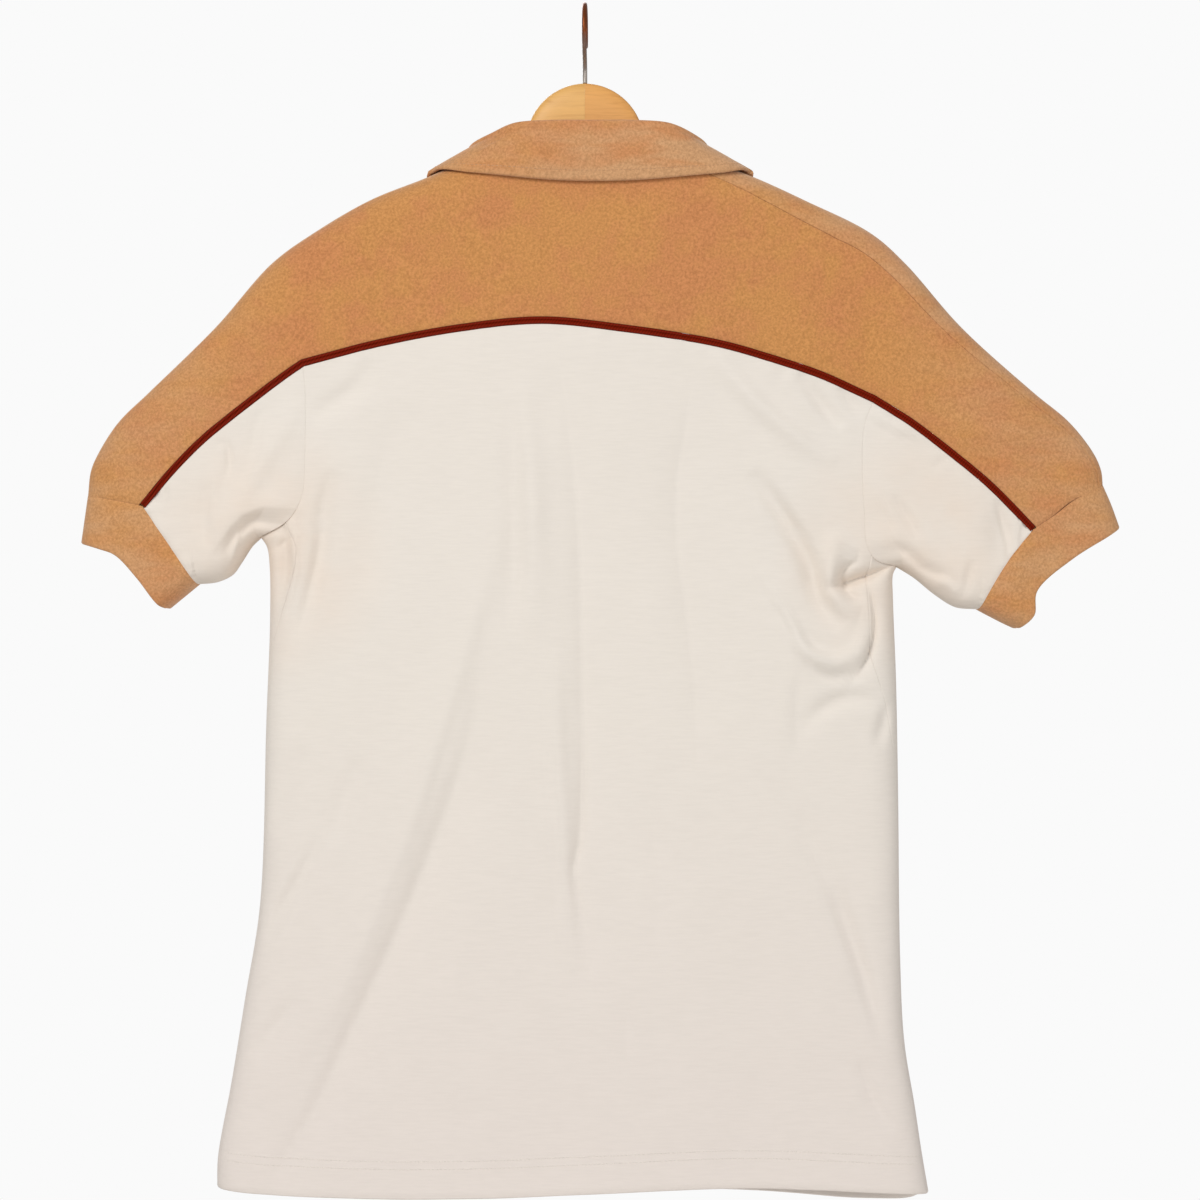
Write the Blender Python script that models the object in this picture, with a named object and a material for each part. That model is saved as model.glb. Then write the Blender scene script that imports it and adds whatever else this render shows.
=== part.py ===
"""Polo shirt with a terry yoke and jersey body, hung on a contoured wooden hanger.

Frame: metres, +Z up, the shirt's front faces -Y and the wearer's left is +X.  The
origin is the inside top of the hanger's hook, where a rod carries it.

The garment is two layers of cloth, back and front, that meet in a rounded fold along
one closed outline.  A point is given by where it lies in the outline (x, z) and by
its layer.  Its depth is the half depth there, times an ellipse quarter that runs from
nothing at the outline to full depth one fold radius inside it.  Every panel is a grid
of such points between its own seams, given a wall of cloth inwards.  Neighbouring
panels share their seam's stations, so they meet 0.3 mm apart all the way.
Sizes below are millimetres.
"""
import math

import bpy
import numpy as np

MM = 0.001

# Cloth and seams.
JERSEY = 1.6
TERRY = 2.4
SEAM_GAP = 0.3
BACK, FRONT = 1, -1

# The folded form: radius of the folds in the outline, and how the layers bow forward
# over the contoured hanger.
FOLD_RADIUS = 32.0
CUFF_FOLD_RADIUS = 24.0
BOW = 8.0
BOW_REACH = 210.0
SHOULDER_POINT = 200.0

# Half depth of the body: height, half depth.
HALF_DEPTH = ((-860, 20), (-620, 23), (-400, 25), (-230, 27.5), (-107, 29))
# What the sleeve's roundness adds: distance out from the armhole, extra half depth.
SLEEVE_PUFF = ((0, 0), (30, 2), (70, 3.5), (110, 1), (145, -3), (185, -5))

# How many stations each seam is divided into.
SLEEVE_STEPS = 9
SHOULDER_STEPS = 6
NECK_STEPS = 8
FRONT_NECK_STEPS = 5
YOKE_ROWS = 8
ARMHOLE_STEPS = 9
WRAP_STEPS = 4
FLANK_STEPS = 15
CUFF_STEPS = 3
FOLD_CROWDING = 1.8

# Shares of the seams.
SHOULDER_SHARE = 0.34
YOKE_SIDE_SHARE = 0.3
FRONT_NECK_SHARE = 0.39
FRONT_CUFF_SHARE = 0.47
FRONT_ARMHOLE_BENDS = ((198, -300), (199, -345))
FRONT_ARMHOLE_LEAD = (-11, 11)
SHOULDER_WRAP_STEPS = 3
SIDE_CROWDING = 1.4
CENTRE_GAP = 0.15
CUFF_START = 1.2
CORNER_TIE = 1e-3
ON_THE_LINE = 0.5

# Outline of each half, in mm out from the centre line and up from the hook.
OUTLINE = {
    "left": {
        "shoulder": ((78, -107), (113, -122.3), (153, -138), (193, -160.8), (224, -183),
                     (264, -228), (312, -274), (335, -296), (350, -319), (355, -331), (357, -348.5)),
        "cuff_fold": ((357, -348.5), (362, -382.7)),
        "cuff_under": ((277, -412), (299, -430)),
        "underarm": ((232, -378.5), (238.5, -384.5), (246.5, -396.5), (253, -405.2), (264, -410.5), (277, -412)),
        "flank": ((232, -378.5), (227.5, -385.5), (225.6, -400), (225.4, -440), (228, -509),
                  (232.5, -640), (243, -706), (253, -767), (263, -822), (263.5, -843)),
    },
    "right": {
        "shoulder": ((78, -107), (120, -121.8), (157, -138.3), (204, -161.3), (229, -183),
                     (269, -228), (321, -274), (348, -296), (366, -319), (371, -331), (372, -341)),
        "cuff_fold": ((372, -341), (378, -354.5), (384.3, -371.5)),
        "cuff_under": ((281, -430), (301, -441), (309, -444)),
        "underarm": ((223, -399.5), (236, -407.5), (251, -419.5), (266, -428.5), (281, -430)),
        "flank": ((223, -399.5), (220.3, -405), (220.3, -423), (222.5, -480), (224, -560),
                  (225.5, -680), (228.5, -739), (236, -785), (241, -818), (246, -847)),
    },
}

# Seams of each half.  "inset" tables give how far in from the outline the seam lies,
# always on the back layer.
SEAMS = {
    "left": {
        "sleeve_piping": ((200, -255.5), (213, -264.4), (243, -287), (271, -309.7),
                          (294, -332.5), (314.5, -356.5)),
        "armhole": ((200, -255.5), (198, -281), (198.3, -317), (199.5, -344), (203, -356),
                    (210, -366), (220, -373), (232, -378.5)),
        "shoulder_inset": ((0, 2.5), (1, 2.5)),
        "side_inset": ((-380, 24), (-400, 20), (-423, 13), (-452, 4), (-470, 2.5), (-860, 2.5)),
        "cuff_top": ((357, -348.5), (336, -352), (314.5, -356.5)),
        "cuff_bottom": ((314.5, -356.5), (307.5, -367), (293, -388), (277, -412)),
        "cuff_edge": ((362, -382.7), (347, -387), (335, -391.5), (319, -408), (304, -427),
                      (299, -430)),
    },
    "right": {
        "sleeve_piping": ((205, -281), (232, -298), (262, -320.7), (289.5, -343.5), (319, -373)),
        "armhole": ((205, -281), (198, -300), (196.5, -330), (198, -360), (200, -385),
                    (207, -395), (223, -399.5)),
        "shoulder_inset": ((0, 10), (0.15, 15), (0.3, 18), (0.5, 15), (0.7, 10), (1, 5)),
        "side_inset": ((-399, 21), (-435, 19), (-462, 20), (-497, 9), (-532, 3.5), (-575, 2.5),
                       (-860, 2.5)),
        "cuff_top": ((372, -341), (349, -352), (335, -362.5), (319, -373)),
        "cuff_bottom": ((319, -373), (312, -381.5), (302, -394), (291, -411), (281, -430)),
        "cuff_edge": ((384.3, -371.5), (374, -378), (348, -394), (322, -417), (320, -434),
                      (311, -443), (309, -444)),
    },
}

# Back yoke seam between the armholes, left to right, and the lines of the hidden front.
BACK_PIPING = ((200, -255.5), (148.5, -242.3), (88, -231.1), (31.5, -225.8), (-24, -231), (-94, -242),
               (-136, -253.7), (-168, -264.4), (-205, -281))
FRONT_KINK = (202, -266)
FRONT_PIPING = ((0, -229), (50, -231), (110, -239), (160, -251), (202, -266))
FRONT_SLEEVE_BEND = (262, -308)
BACK_NECK = ((78, -107), (70, -109.5), (50, -111.5), (0, -112.5), (-50, -111.5), (-70, -109.5), (-78, -107))
FRONT_NECK = ((78, -107), (75, -116), (62, -133), (38, -153), (0, -171))
BACK_HEM = ((263.5, -843), (230, -846), (170, -848.3), (68, -847.5), (-3, -844.5), (-85, -841), (-132, -841),
            (-220, -845.5), (-246, -847))
FRONT_HEM = ((263.5, -843), (200, -845), (0, -847), (-60, -846.5), (-120, -848.5), (-205, -855),
             (-236, -854), (-246, -847))

# How fast a fold fades at its ends.
FOLD_FADE = 0.8

# Largest folds: the layer, how high they stand (a trough is negative), how wide, and
# three to five points along each.
FOLDS = (
    # layer, height, half width, path
    (BACK, -4.0, 15, ((78, -430), (96, -532), (127, -615), (158, -697), (178, -752), (196, -790))),
    (BACK, 3.0, 16, ((112, -440), (130, -540), (160, -625), (186, -700), (206, -760))),
    (BACK, -4.5, 11, ((3, -560), (4, -600), (10, -640), (-1, -690))),
    (BACK, -3.0, 16, ((-77, -290), (-79, -400), (-80, -500), (-76, -560))),
    (BACK, -3.0, 15, ((184, -330), (193, -400), (202, -440), (208, -500))),
    (BACK, 5.0, 11, ((-148, -445), (-168, -466), (-188, -472), (-206, -452))),
    (BACK, -4.0, 11, ((-150, -475), (-172, -492), (-192, -494), (-210, -478))),
    (BACK, -3.5, 12, ((236, -300), (246, -345), (252, -380))),
    (BACK, -3.0, 12, ((-290, -365), (-296, -385), (-300, -400))),
    (FRONT, -4.0, 15, ((-90, -420), (-104, -540), (-132, -640), (-170, -740))),
    (FRONT, 3.5, 14, ((-122, -450), (-140, -560), (-172, -660), (-196, -740))),
    (FRONT, -4.0, 14, ((66, -400), (70, -520), (62, -640), (74, -760))),
    (FRONT, 3.5, 13, ((150, -440), (172, -468), (196, -470), (210, -450))),
    (FRONT, -3.5, 12, ((-238, -305), (-246, -350), (-250, -385))),
    (FRONT, -3.0, 12, ((246, -310), (252, -350), (252, -380))),
)

# Collar half, centre back to front end: the stand's foot on the neckline (x, z), the
# fold (x, y, z), the fall's edge (x, z), and the layer of cloth under both.
COLLAR_ROWS = (
    ((0, -111.2), (0, 32, -85), (0, -128.3), BACK),
    ((30, -110.8), (30, 31.5, -85), (33, -127.3), BACK),
    ((52, -109.2), (54, 28.5, -86.5), (62, -124.6), BACK),
    ((68, -107.0), (69, 18, -91.5), (88, -121.2), BACK),
    ((74, -103.3), (82.5, 0, -98.2), (117, -117.4), 0),
    ((70.0, -112.0), (77, -20, -105.5), (110, -138), FRONT),
    ((57.3, -129.8), (63, -32.5, -122.5), (93, -167), FRONT),
    ((36, -149.8), (41, -36, -140), (69, -197), FRONT),
    ((14, -160.4), (18, -35.5, -154.5), (48, -222), FRONT),
)
STAND_INSET = 1.0
COLLAR_SHIFT = (0.0, -5.0, -8.0)
COLLAR_THICKNESS = 2.6
COLLAR_LIFT = 3.9
STAND_STEPS = 2
COLLAR_ROLL = 3.4
COLLAR_ROLL_STEPS = 4
COLLAR_BULGE = 1.2
COLLAR_SECTIONS = (1, 1, 2, 3, 3, 2, 2, 2)
FALL_STEPS = 5
NORMAL_PASSES = 3

# Placket and buttons.
PLACKET_HALF_WIDTH = 16.0
PLACKET_TOP, PLACKET_BOTTOM = -172.0, -322.0
PLACKET_THICKNESS = 2.4
PLACKET_COLUMNS, PLACKET_ROWS = 5, 11
BUTTON_HEIGHTS = (-192, -246, -300)
BUTTON_RADIUS = 5.7
BUTTON_SIDES = 18
BUTTON_PROFILE = ((4.6, 0.0), (5.7, 0.7), (5.7, 1.7), (5.0, 2.6), (4.0, 2.5), (3.3, 1.9))

# Piping: two cords with a groove between them, across the seam: offset, height.
PIPING_HALF_WIDTH = 2.4
PIPING_END_GAP = 0.5
PIPING_SUNK = 0.2
PIPING_RISE = 5.0
PIPING_SECTION = ((-2.4, -0.9), (-2.3, 0.35), (-1.5, 0.95), (-0.7, 0.6), (0, 0.1),
                  (0.7, 0.6), (1.5, 0.95), (2.3, 0.35), (2.4, -0.9))

# Hanger: half sections from the centre out: x, top height, bottom height, half thickness.
HANGER_HEAD_RADIUS = 42.0
HANGER_HEAD_CENTRE = -97.0
HANGER_TIP = 203.0
HANGER_CLEARANCE = 3.6
HANGER_RIDGE = 3.0
HANGER_BOTTOM = ((0, -140), (40, -142), (100, -154), (160, -176), (205, -197))
HANGER_HALF_THICKNESS = ((0, 7.5), (60, 7.0), (85, 7.5), (160, 13), (205, 14.5))
HANGER_NECK_TOP = ((43, -98.5), (60, -106), (78, -113.5))
HANGER_HEAD_SWEEP = math.radians(84)
HANGER_HEAD_STEPS, HANGER_ARM_STEPS = 8, 10
HANGER_ARM_START = 43.0
HANGER_END_SIZES = ((4.0, 1.0), (1.2, 0.85), (0.0, 0.5))
HANGER_SIDES = 14
HANGER_SQUARENESS = 0.75

# Hook: a wire bent in the Y-Z plane and turned a little about Z.
WIRE_RADIUS = 1.6
HOOK_RADIUS = 19.0
HOOK_TURN = math.radians(4)
HOOK_BEND = ((0, -54.6), (0, -49), (0.6, -44.5), (4.2, -39.2), (9.6, -34.4))
HOOK_ARC = np.radians((-40, 205))
HOOK_STEPS = 24
WIRE_SIDES = 10

COLOURS = {
    "terry": ((0.56, 0.26, 0.09), 0.95, 0.0),
    "jersey": ((0.79, 0.73, 0.64), 0.9, 0.0),
    "piping": ((0.10, 0.012, 0.004), 0.6, 0.0),
    "wood": ((0.78, 0.44, 0.17), 0.4, 0.0),
    "button": ((0.30, 0.12, 0.04), 0.3, 0.0),
    "wire": ((0.45, 0.42, 0.38), 0.3, 1.0),
}


# ---------------------------------------------------------------- curves and tables

def table(rows, at):
    """Read a two-column table at one or more places, with straight lines between rows."""
    rows = np.asarray(sorted(rows), float)
    return np.interp(at, rows[:, 0], rows[:, 1])


def smooth_line(points, per_span=12):
    """Catmull-Rom curve through the points, as a fine polyline."""
    p = np.asarray(points, float)
    if len(p) == 2:
        return p[0] + (p[1] - p[0]) * np.linspace(0, 1, per_span + 1)[:, None]
    p = np.vstack([2 * p[0] - p[1], p, 2 * p[-1] - p[-2]])
    knots = np.concatenate([[0], np.cumsum(np.sqrt(np.linalg.norm(np.diff(p, axis=0), axis=1)))])
    pieces = []
    for i in range(1, len(p) - 2):
        k0, k1, k2, k3 = knots[i - 1:i + 3]
        t = np.linspace(k1, k2, per_span + 1)[:-1, None]
        a1 = ((k1 - t) * p[i - 1] + (t - k0) * p[i]) / (k1 - k0)
        a2 = ((k2 - t) * p[i] + (t - k1) * p[i + 1]) / (k2 - k1)
        a3 = ((k3 - t) * p[i + 1] + (t - k2) * p[i + 2]) / (k3 - k2)
        b1 = ((k2 - t) * a1 + (t - k0) * a2) / (k2 - k0)
        b2 = ((k3 - t) * a2 + (t - k1) * a3) / (k3 - k1)
        pieces.append(((k2 - t) * b1 + (t - k1) * b2) / (k2 - k1))
    pieces.append(p[-2:-1])
    return np.vstack(pieces)


def along(line, fractions):
    """Points at fractions of the polyline's length."""
    line = np.asarray(line, float)
    reach = np.concatenate([[0], np.cumsum(np.linalg.norm(np.diff(line, axis=0), axis=1))])
    at = np.asarray(fractions, float) * reach[-1]
    return np.stack([np.interp(at, reach, line[:, k]) for k in range(line.shape[1])], axis=-1)


def crowded(steps, power=FOLD_CROWDING):
    """Fractions from 0 to 1 whose last steps are short, for stations that end in a fold."""
    return 1 - (np.arange(steps, -1, -1) / steps) ** power


def mirrored(points, half):
    """A half's table points in the shared frame: +X for the left half, -X for the right."""
    p = np.array(points, float)
    p[:, 0] *= 1 if half == "left" else -1
    return p


def shifted(line, distance):
    """The line moved sideways in its plane, to the left of its own direction."""
    step = np.gradient(np.asarray(line, float), axis=0)
    step /= np.linalg.norm(step, axis=1)[:, None]
    return line + distance * np.stack([-step[:, 1], step[:, 0]], axis=1)


# ------------------------------------------------------------------ the folded form

def outline_segments():
    """The closed outline's segments: start, end, inward direction and fold radius."""
    rows = []
    radii = {"cuff_fold": CUFF_FOLD_RADIUS, "cuff_under": CUFF_FOLD_RADIUS}
    for half in ("left", "right"):
        for name, points in OUTLINE[half].items():
            line = mirrored(smooth_line(points), half)
            turn = 1 if (half == "left") == (name in ("underarm", "cuff_under")) else -1
            if name == "flank":
                turn = -1 if half == "left" else 1
            a, b = line[:-1], line[1:]
            step = (b - a) / np.linalg.norm(b - a, axis=1)[:, None]
            inward = turn * np.stack([-step[:, 1], step[:, 0]], axis=1)
            rows.append((a, b, inward, np.full(len(a), radii.get(name, FOLD_RADIUS))))
    return [np.concatenate(part) for part in zip(*rows)]


SEGMENTS = outline_segments()


def edge_distance(xz):
    """Distance in from the outline, the direction inwards, and the fold radius there.

    Outside the outline the distance is negative.  At a corner, where two segments are
    equally near, a point is outside only if it is outside both.
    """
    a, b, inward, radius = SEGMENTS
    rel = xz[:, None, :] - a[None]
    step = b - a
    t = np.clip((rel * step).sum(-1) / (step ** 2).sum(-1), 0, 1)
    away = rel - t[..., None] * step
    gap = np.linalg.norm(away, axis=-1)
    k = gap.argmin(axis=1)
    pick = np.arange(len(xz))
    d = gap[pick, k]
    tied = gap < d[:, None] + CORNER_TIE
    outside = (np.where(tied, (away * inward[None]).sum(axis=-1), -1).max(axis=1) < 0) & (d > CORNER_TIE)
    square = (tied[..., None] * inward[None]).sum(axis=1)
    square /= np.linalg.norm(square, axis=1)[:, None]
    sign = np.where(outside, -1, 1)
    radial = sign[:, None] * away[pick, k] / np.maximum(d, CORNER_TIE)[:, None]
    return sign * d, np.where(d[:, None] > ON_THE_LINE, radial, square), radius[k]


def fold_height(xz, layer):
    """Sum of the large folds: a bell across each path, fading out at its ends."""
    total = np.zeros(len(xz))
    for fold_layer, height, half_width, path in FOLDS:
        line = smooth_line(path, 6)
        a, b = line[:-1], line[1:]
        step = b - a
        size = np.linalg.norm(step, axis=1)
        start = np.concatenate([[0], np.cumsum(size)])
        rel = xz[:, None, :] - a[None]
        t = np.clip((rel * step).sum(-1) / (size ** 2), 0, 1)
        gap = np.linalg.norm(rel - t[..., None] * step, axis=-1)
        k = gap.argmin(axis=1)
        pick = np.arange(len(xz))
        place = (start[k] + t[pick, k] * size[k]) / start[-1]
        fade = np.sin(np.pi * np.clip(place, 0, 1)) ** FOLD_FADE
        bell = np.exp(-(gap[pick, k] / half_width) ** 2)
        total += np.where(layer == fold_layer, height * fade * bell, 0)
    return total


def middle(x):
    """The mid surface bows forward over the hanger, then runs on straight."""
    out = np.abs(x)
    return -BOW * np.where(out < BOW_REACH, (out / BOW_REACH) ** 2, 2 * out / BOW_REACH - 1)


def cloth(xz, layer, lift=0.0, sleeve=False):
    """Outer points of the cloth at (x, z) in a layer, and the direction out of it.

    Formula: y = middle(x) + layer * (half depth * q + folds * q), where
    q = sqrt(r (2 - r)) and r is the distance from the outline over the fold radius.
    A lift moves the whole form outwards, for what lies on the cloth.
    """
    xz = np.asarray(xz, float)
    shape = xz.shape[:-1]
    flat = xz.reshape(-1, 2)
    layer = np.broadcast_to(layer, shape).reshape(-1)
    d, inward, radius = edge_distance(flat)
    depth = table(HALF_DEPTH, flat[:, 1])
    if sleeve:
        depth = depth + table(SLEEVE_PUFF, np.abs(flat[:, 0]) - SHOULDER_POINT)
    depth = depth + lift
    r = np.clip((d + lift) / (radius + lift), 0, 1)
    q = np.sqrt(r * (2 - r))
    y = middle(flat[:, 0]) + layer * q * (depth + fold_height(flat, layer))
    slope = depth * (1 - r) / radius
    normal = np.stack([-inward[:, 0] * slope, layer * q, -inward[:, 1] * slope], axis=1)
    normal /= np.linalg.norm(normal, axis=1)[:, None]
    points = np.stack([flat[:, 0], y, flat[:, 1]], axis=1)
    return points.reshape(shape + (3,)), normal.reshape(shape + (3,))


# ---------------------------------------------------------------- solids from grids

MATERIALS = {}


def material(kind):
    """A Principled material of one of the part's finishes, made once."""
    if kind not in MATERIALS:
        colour, roughness, metallic = COLOURS[kind]
        made = bpy.data.materials.new(kind)
        made.use_nodes = True
        shader = made.node_tree.nodes["Principled BSDF"]
        shader.inputs["Base Color"].default_value = (*colour, 1)
        shader.inputs["Roughness"].default_value = roughness
        shader.inputs["Metallic"].default_value = metallic
        made.diffuse_color = (*colour, 1)
        MATERIALS[kind] = made
    return MATERIALS[kind]


def add_solid(name, points, faces, kind):
    """One named mesh object in the scene, in metres."""
    mesh = bpy.data.meshes.new(name)
    mesh.from_pydata((np.asarray(points) * MM).tolist(), [], [list(map(int, f)) for f in faces])
    mesh.materials.append(material(kind))
    mesh.shade_smooth()
    solid = bpy.data.objects.new(name, mesh)
    bpy.context.collection.objects.link(solid)
    return solid


def grid_faces(rows, columns, present=None, ring=False):
    """Quads of a grid of points; a mask leaves cells out, a ring joins the last column."""
    faces = []
    for i in range(rows - 1):
        for j in range(columns if ring else columns - 1):
            cell = [(i, j), (i, (j + 1) % columns), (i + 1, (j + 1) % columns), (i + 1, j)]
            if present is None or all(present[c] for c in cell):
                faces.append([r * columns + c for r, c in cell])
    return faces


def walled(name, outer, inner, faces, kind):
    """A closed wall between two sheets of points that share the same faces.

    Both sheets are cut alike into triangles, so the wall never crosses itself.
    """
    used = sorted({v for face in faces for v in face})
    index = {v: k for k, v in enumerate(used)}
    outer = outer.reshape(-1, 3)[used]
    inner = inner.reshape(-1, 3)[used]
    faces = [[index[v] for v in face] for face in faces]
    faces = [[f[0], f[k], f[k + 1]] for f in faces for k in range(1, len(f) - 1)]
    a, b, c = (outer[[f[k] for f in faces]] for k in (0, 1, 2))
    out = (outer - inner)[[f[0] for f in faces]]
    if (np.cross(b - a, c - b) * out).sum() < 0:
        faces = [face[::-1] for face in faces]
    edges = {}
    for face in faces:
        for k in range(len(face)):
            edges[(face[k], face[(k + 1) % len(face)])] = True
    n = len(used)
    rim = []
    for p, q in edges:
        if (q, p) not in edges:
            low_first = tuple(outer[p][[2, 0]]) < tuple(outer[q][[2, 0]])
            rim += [[q, p, q + n], [p, p + n, q + n]] if low_first else [[q, p, p + n], [q, p + n, q + n]]
    back = [[v + n for v in face[::-1]] for face in faces]
    return add_solid(name, np.vstack([outer, inner]), faces + back + rim, kind)


def closed_tube(name, points, kind):
    """A solid from a stack of rings of points, capped at both ends."""
    rows, columns = points.shape[:2]
    faces = grid_faces(rows, columns, ring=True)
    faces += [list(range(columns))[::-1], [(rows - 1) * columns + k for k in range(columns)]]
    flat = points.reshape(-1, 3)
    volume = sum(np.dot(flat[f[0]], np.cross(flat[f[k]], flat[f[k + 1]]))
                 for f in faces for k in range(1, len(f) - 1))
    return add_solid(name, flat, faces if volume > 0 else [face[::-1] for face in faces], kind)


def cloth_panel(name, xz, layer, kind, thickness, sleeve=False, present=None, ring=False):
    """A panel of cloth on a grid of outline places, with its wall inwards."""
    points, normals = cloth(xz, layer, sleeve=sleeve)
    rows, columns = points.shape[:2]
    faces = grid_faces(rows, columns, present, ring)
    return walled(name, points, points - thickness * normals, faces, kind)


def patch(bottom, top, left, right, across, up, hold=1):
    """Coons patch: a grid between four edges; the sides' ends are drawn to the corners.

    Straight rows between the sides, plus what the bottom and top edges have beyond a
    straight row, which fades towards the other edge, faster with a higher hold.
    """
    start, end = bottom.reshape(-1, *bottom.shape[-2:])[0, [0, -1]], top[[0, -1]]
    rise = np.asarray(up)[:, None]
    left = left + (1 - rise) * (start[0] - left[0]) + rise * (end[0] - left[-1])
    right = right + (1 - rise) * (start[1] - right[0]) + rise * (end[1] - right[-1])
    u = np.broadcast_to(across, (len(up), bottom.shape[-2]))[..., None]
    v = np.asarray(up)[:, None, None]
    straight = (1 - u) * left[:, None] + u * right[:, None]
    below = bottom - ((1 - u) * left[0] + u * right[0])
    above = top - ((1 - u) * left[-1] + u * right[-1])
    return straight + (1 - v) ** hold * below + v ** hold * above


# ------------------------------------------------------------------ seams, as stations

def seam_inset(half, table_name, at):
    """A seam's inset from the outline at one place or more."""
    return table(SEAMS[half][table_name], at)


def shoulder_stations(half):
    """Places along the shoulder and overarm fold, neck to cuff, in the half's own frame."""
    near = np.linspace(0, SHOULDER_SHARE, SHOULDER_STEPS + 1)
    far = np.linspace(SHOULDER_SHARE, 1, SLEEVE_STEPS + 1)[1:]
    fractions = np.concatenate([near, far])
    return fractions, along(smooth_line(OUTLINE[half]["shoulder"]), fractions)


def shoulder_seam(half, side):
    """The shoulder seam on the back layer; side +1 is the back yoke's edge, -1 the front's."""
    fractions, fold = shoulder_stations(half)
    reach = seam_inset(half, "shoulder_inset", fractions) + side * SEAM_GAP / 2
    step = np.gradient(fold, axis=0)
    step /= np.linalg.norm(step, axis=1)[:, None]
    seam = fold + reach[:, None] * np.stack([step[:, 1], -step[:, 0]], axis=1)
    neck = smooth_line(BACK_NECK)
    length = np.linalg.norm(np.diff(neck, axis=0), axis=1).sum()
    seam[0] = along(neck, reach[0] / length)
    return seam


def sleeve_piping(half, layer):
    """Centre of the piping on the sleeve, from the armhole to the cuff."""
    stations = np.linspace(0, 1, SLEEVE_STEPS + 1)
    if layer == BACK:
        return along(smooth_line(SEAMS[half]["sleeve_piping"]), stations)
    return along(smooth_line([FRONT_KINK, FRONT_SLEEVE_BEND, front_cuff_point(half)]), stations)


def front_cuff_point(half):
    """Where the front piping meets the cuff."""
    top, bottom = np.array(SEAMS[half]["cuff_top"][0], float), np.array(SEAMS[half]["cuff_bottom"][-1], float)
    return top + FRONT_CUFF_SHARE * (bottom - top)


def cuff_seam(half, layer, part):
    """The cuff seam's part above or below the piping, from the fold or the piping down."""
    if layer == BACK:
        return smooth_line(SEAMS[half]["cuff_" + part])
    top, bottom = np.array(SEAMS[half]["cuff_top"][0], float), np.array(SEAMS[half]["cuff_bottom"][-1], float)
    middle_point = front_cuff_point(half)
    return smooth_line([top, middle_point] if part == "top" else [middle_point, bottom])


def armhole(half, layer):
    """Stations of the armhole seam, from the piping down to the underarm fold."""
    line = SEAMS[half]["armhole"]
    if layer == FRONT:
        end = line[-1]
        lead = (end[0] + FRONT_ARMHOLE_LEAD[0], end[1] + FRONT_ARMHOLE_LEAD[1])
        line = (FRONT_KINK, *FRONT_ARMHOLE_BENDS, lead, end)
    return along(smooth_line(line), crowded(ARMHOLE_STEPS))


def middle_fractions():
    """Stations of the back yoke seam between the armholes."""
    side = YOKE_SIDE_SHARE
    return np.concatenate([np.linspace(0, side, SHOULDER_STEPS + 1),
                           np.linspace(side, 1 - side, NECK_STEPS + 1)[1:],
                           np.linspace(1 - side, 1, SHOULDER_STEPS + 1)[1:]])


def back_piping_line():
    """Centre of the back piping, left cuff to right cuff, in the shared frame."""
    left = mirrored(sleeve_piping("left", BACK)[::-1], "left")
    middle_part = along(smooth_line(BACK_PIPING), middle_fractions())
    right = mirrored(sleeve_piping("right", BACK), "right")
    return np.vstack([left, middle_part[1:], right[1:]])


def seam_beside(line, side):
    """The edge of a panel beside a piping line; side +1 is the panel below it."""
    return shifted(line, side * (PIPING_HALF_WIDTH + SEAM_GAP))


def sleeve_edge(half, layer):
    """The under sleeve's edge beside the piping, armhole to cuff, in the half's frame."""
    if layer == FRONT:
        return seam_beside(front_piping_line(half), 1)[SLEEVE_STEPS::-1]
    line = mirrored(seam_beside(back_piping_line(), 1), half)
    return line[SLEEVE_STEPS::-1] if half == "left" else line[-SLEEVE_STEPS - 1:]


def front_piping_line(half):
    """Centre of one front piping, cuff to centre front, in the half's own frame."""
    sleeve = sleeve_piping(half, FRONT)[::-1]
    share = 1 - FRONT_NECK_SHARE
    fractions = np.concatenate([np.linspace(0, share, SHOULDER_STEPS + 1),
                                np.linspace(share, 1, FRONT_NECK_STEPS + 1)[1:]])
    return np.vstack([sleeve, along(smooth_line(FRONT_PIPING)[::-1], fractions)[1:]])


# ------------------------------------------------------------------------ the panels

def back_yoke():
    """Terry back yoke with the backs of both upper sleeves, cuff to cuff."""
    lower = seam_beside(back_piping_line(), -1)
    left = mirrored(shoulder_seam("left", 1), "left")[::-1]
    right = mirrored(shoulder_seam("right", 1), "right")
    neck = smooth_line(BACK_NECK)
    near = [np.abs(neck[:, 0] - seam[0]).argmin() for seam in (left[-1], right[0])]
    neckline = np.vstack([left[-1], neck[near[0] + 1:near[1]], right[0]])
    between = along(neckline, np.linspace(0, 1, NECK_STEPS + 1))
    upper = np.vstack([left, between[1:-1], right])
    rows = crowded(YOKE_ROWS)
    ends = [mirrored(along(cuff_seam(half, BACK, "top")[::-1], rows), half) for half in ("left", "right")]
    across = np.linspace(0, 1, len(lower))
    grid = patch(lower, upper, ends[0], ends[1], across, rows)
    return cloth_panel("back_yoke", grid, BACK, "terry", TERRY, sleeve=True)


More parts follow.
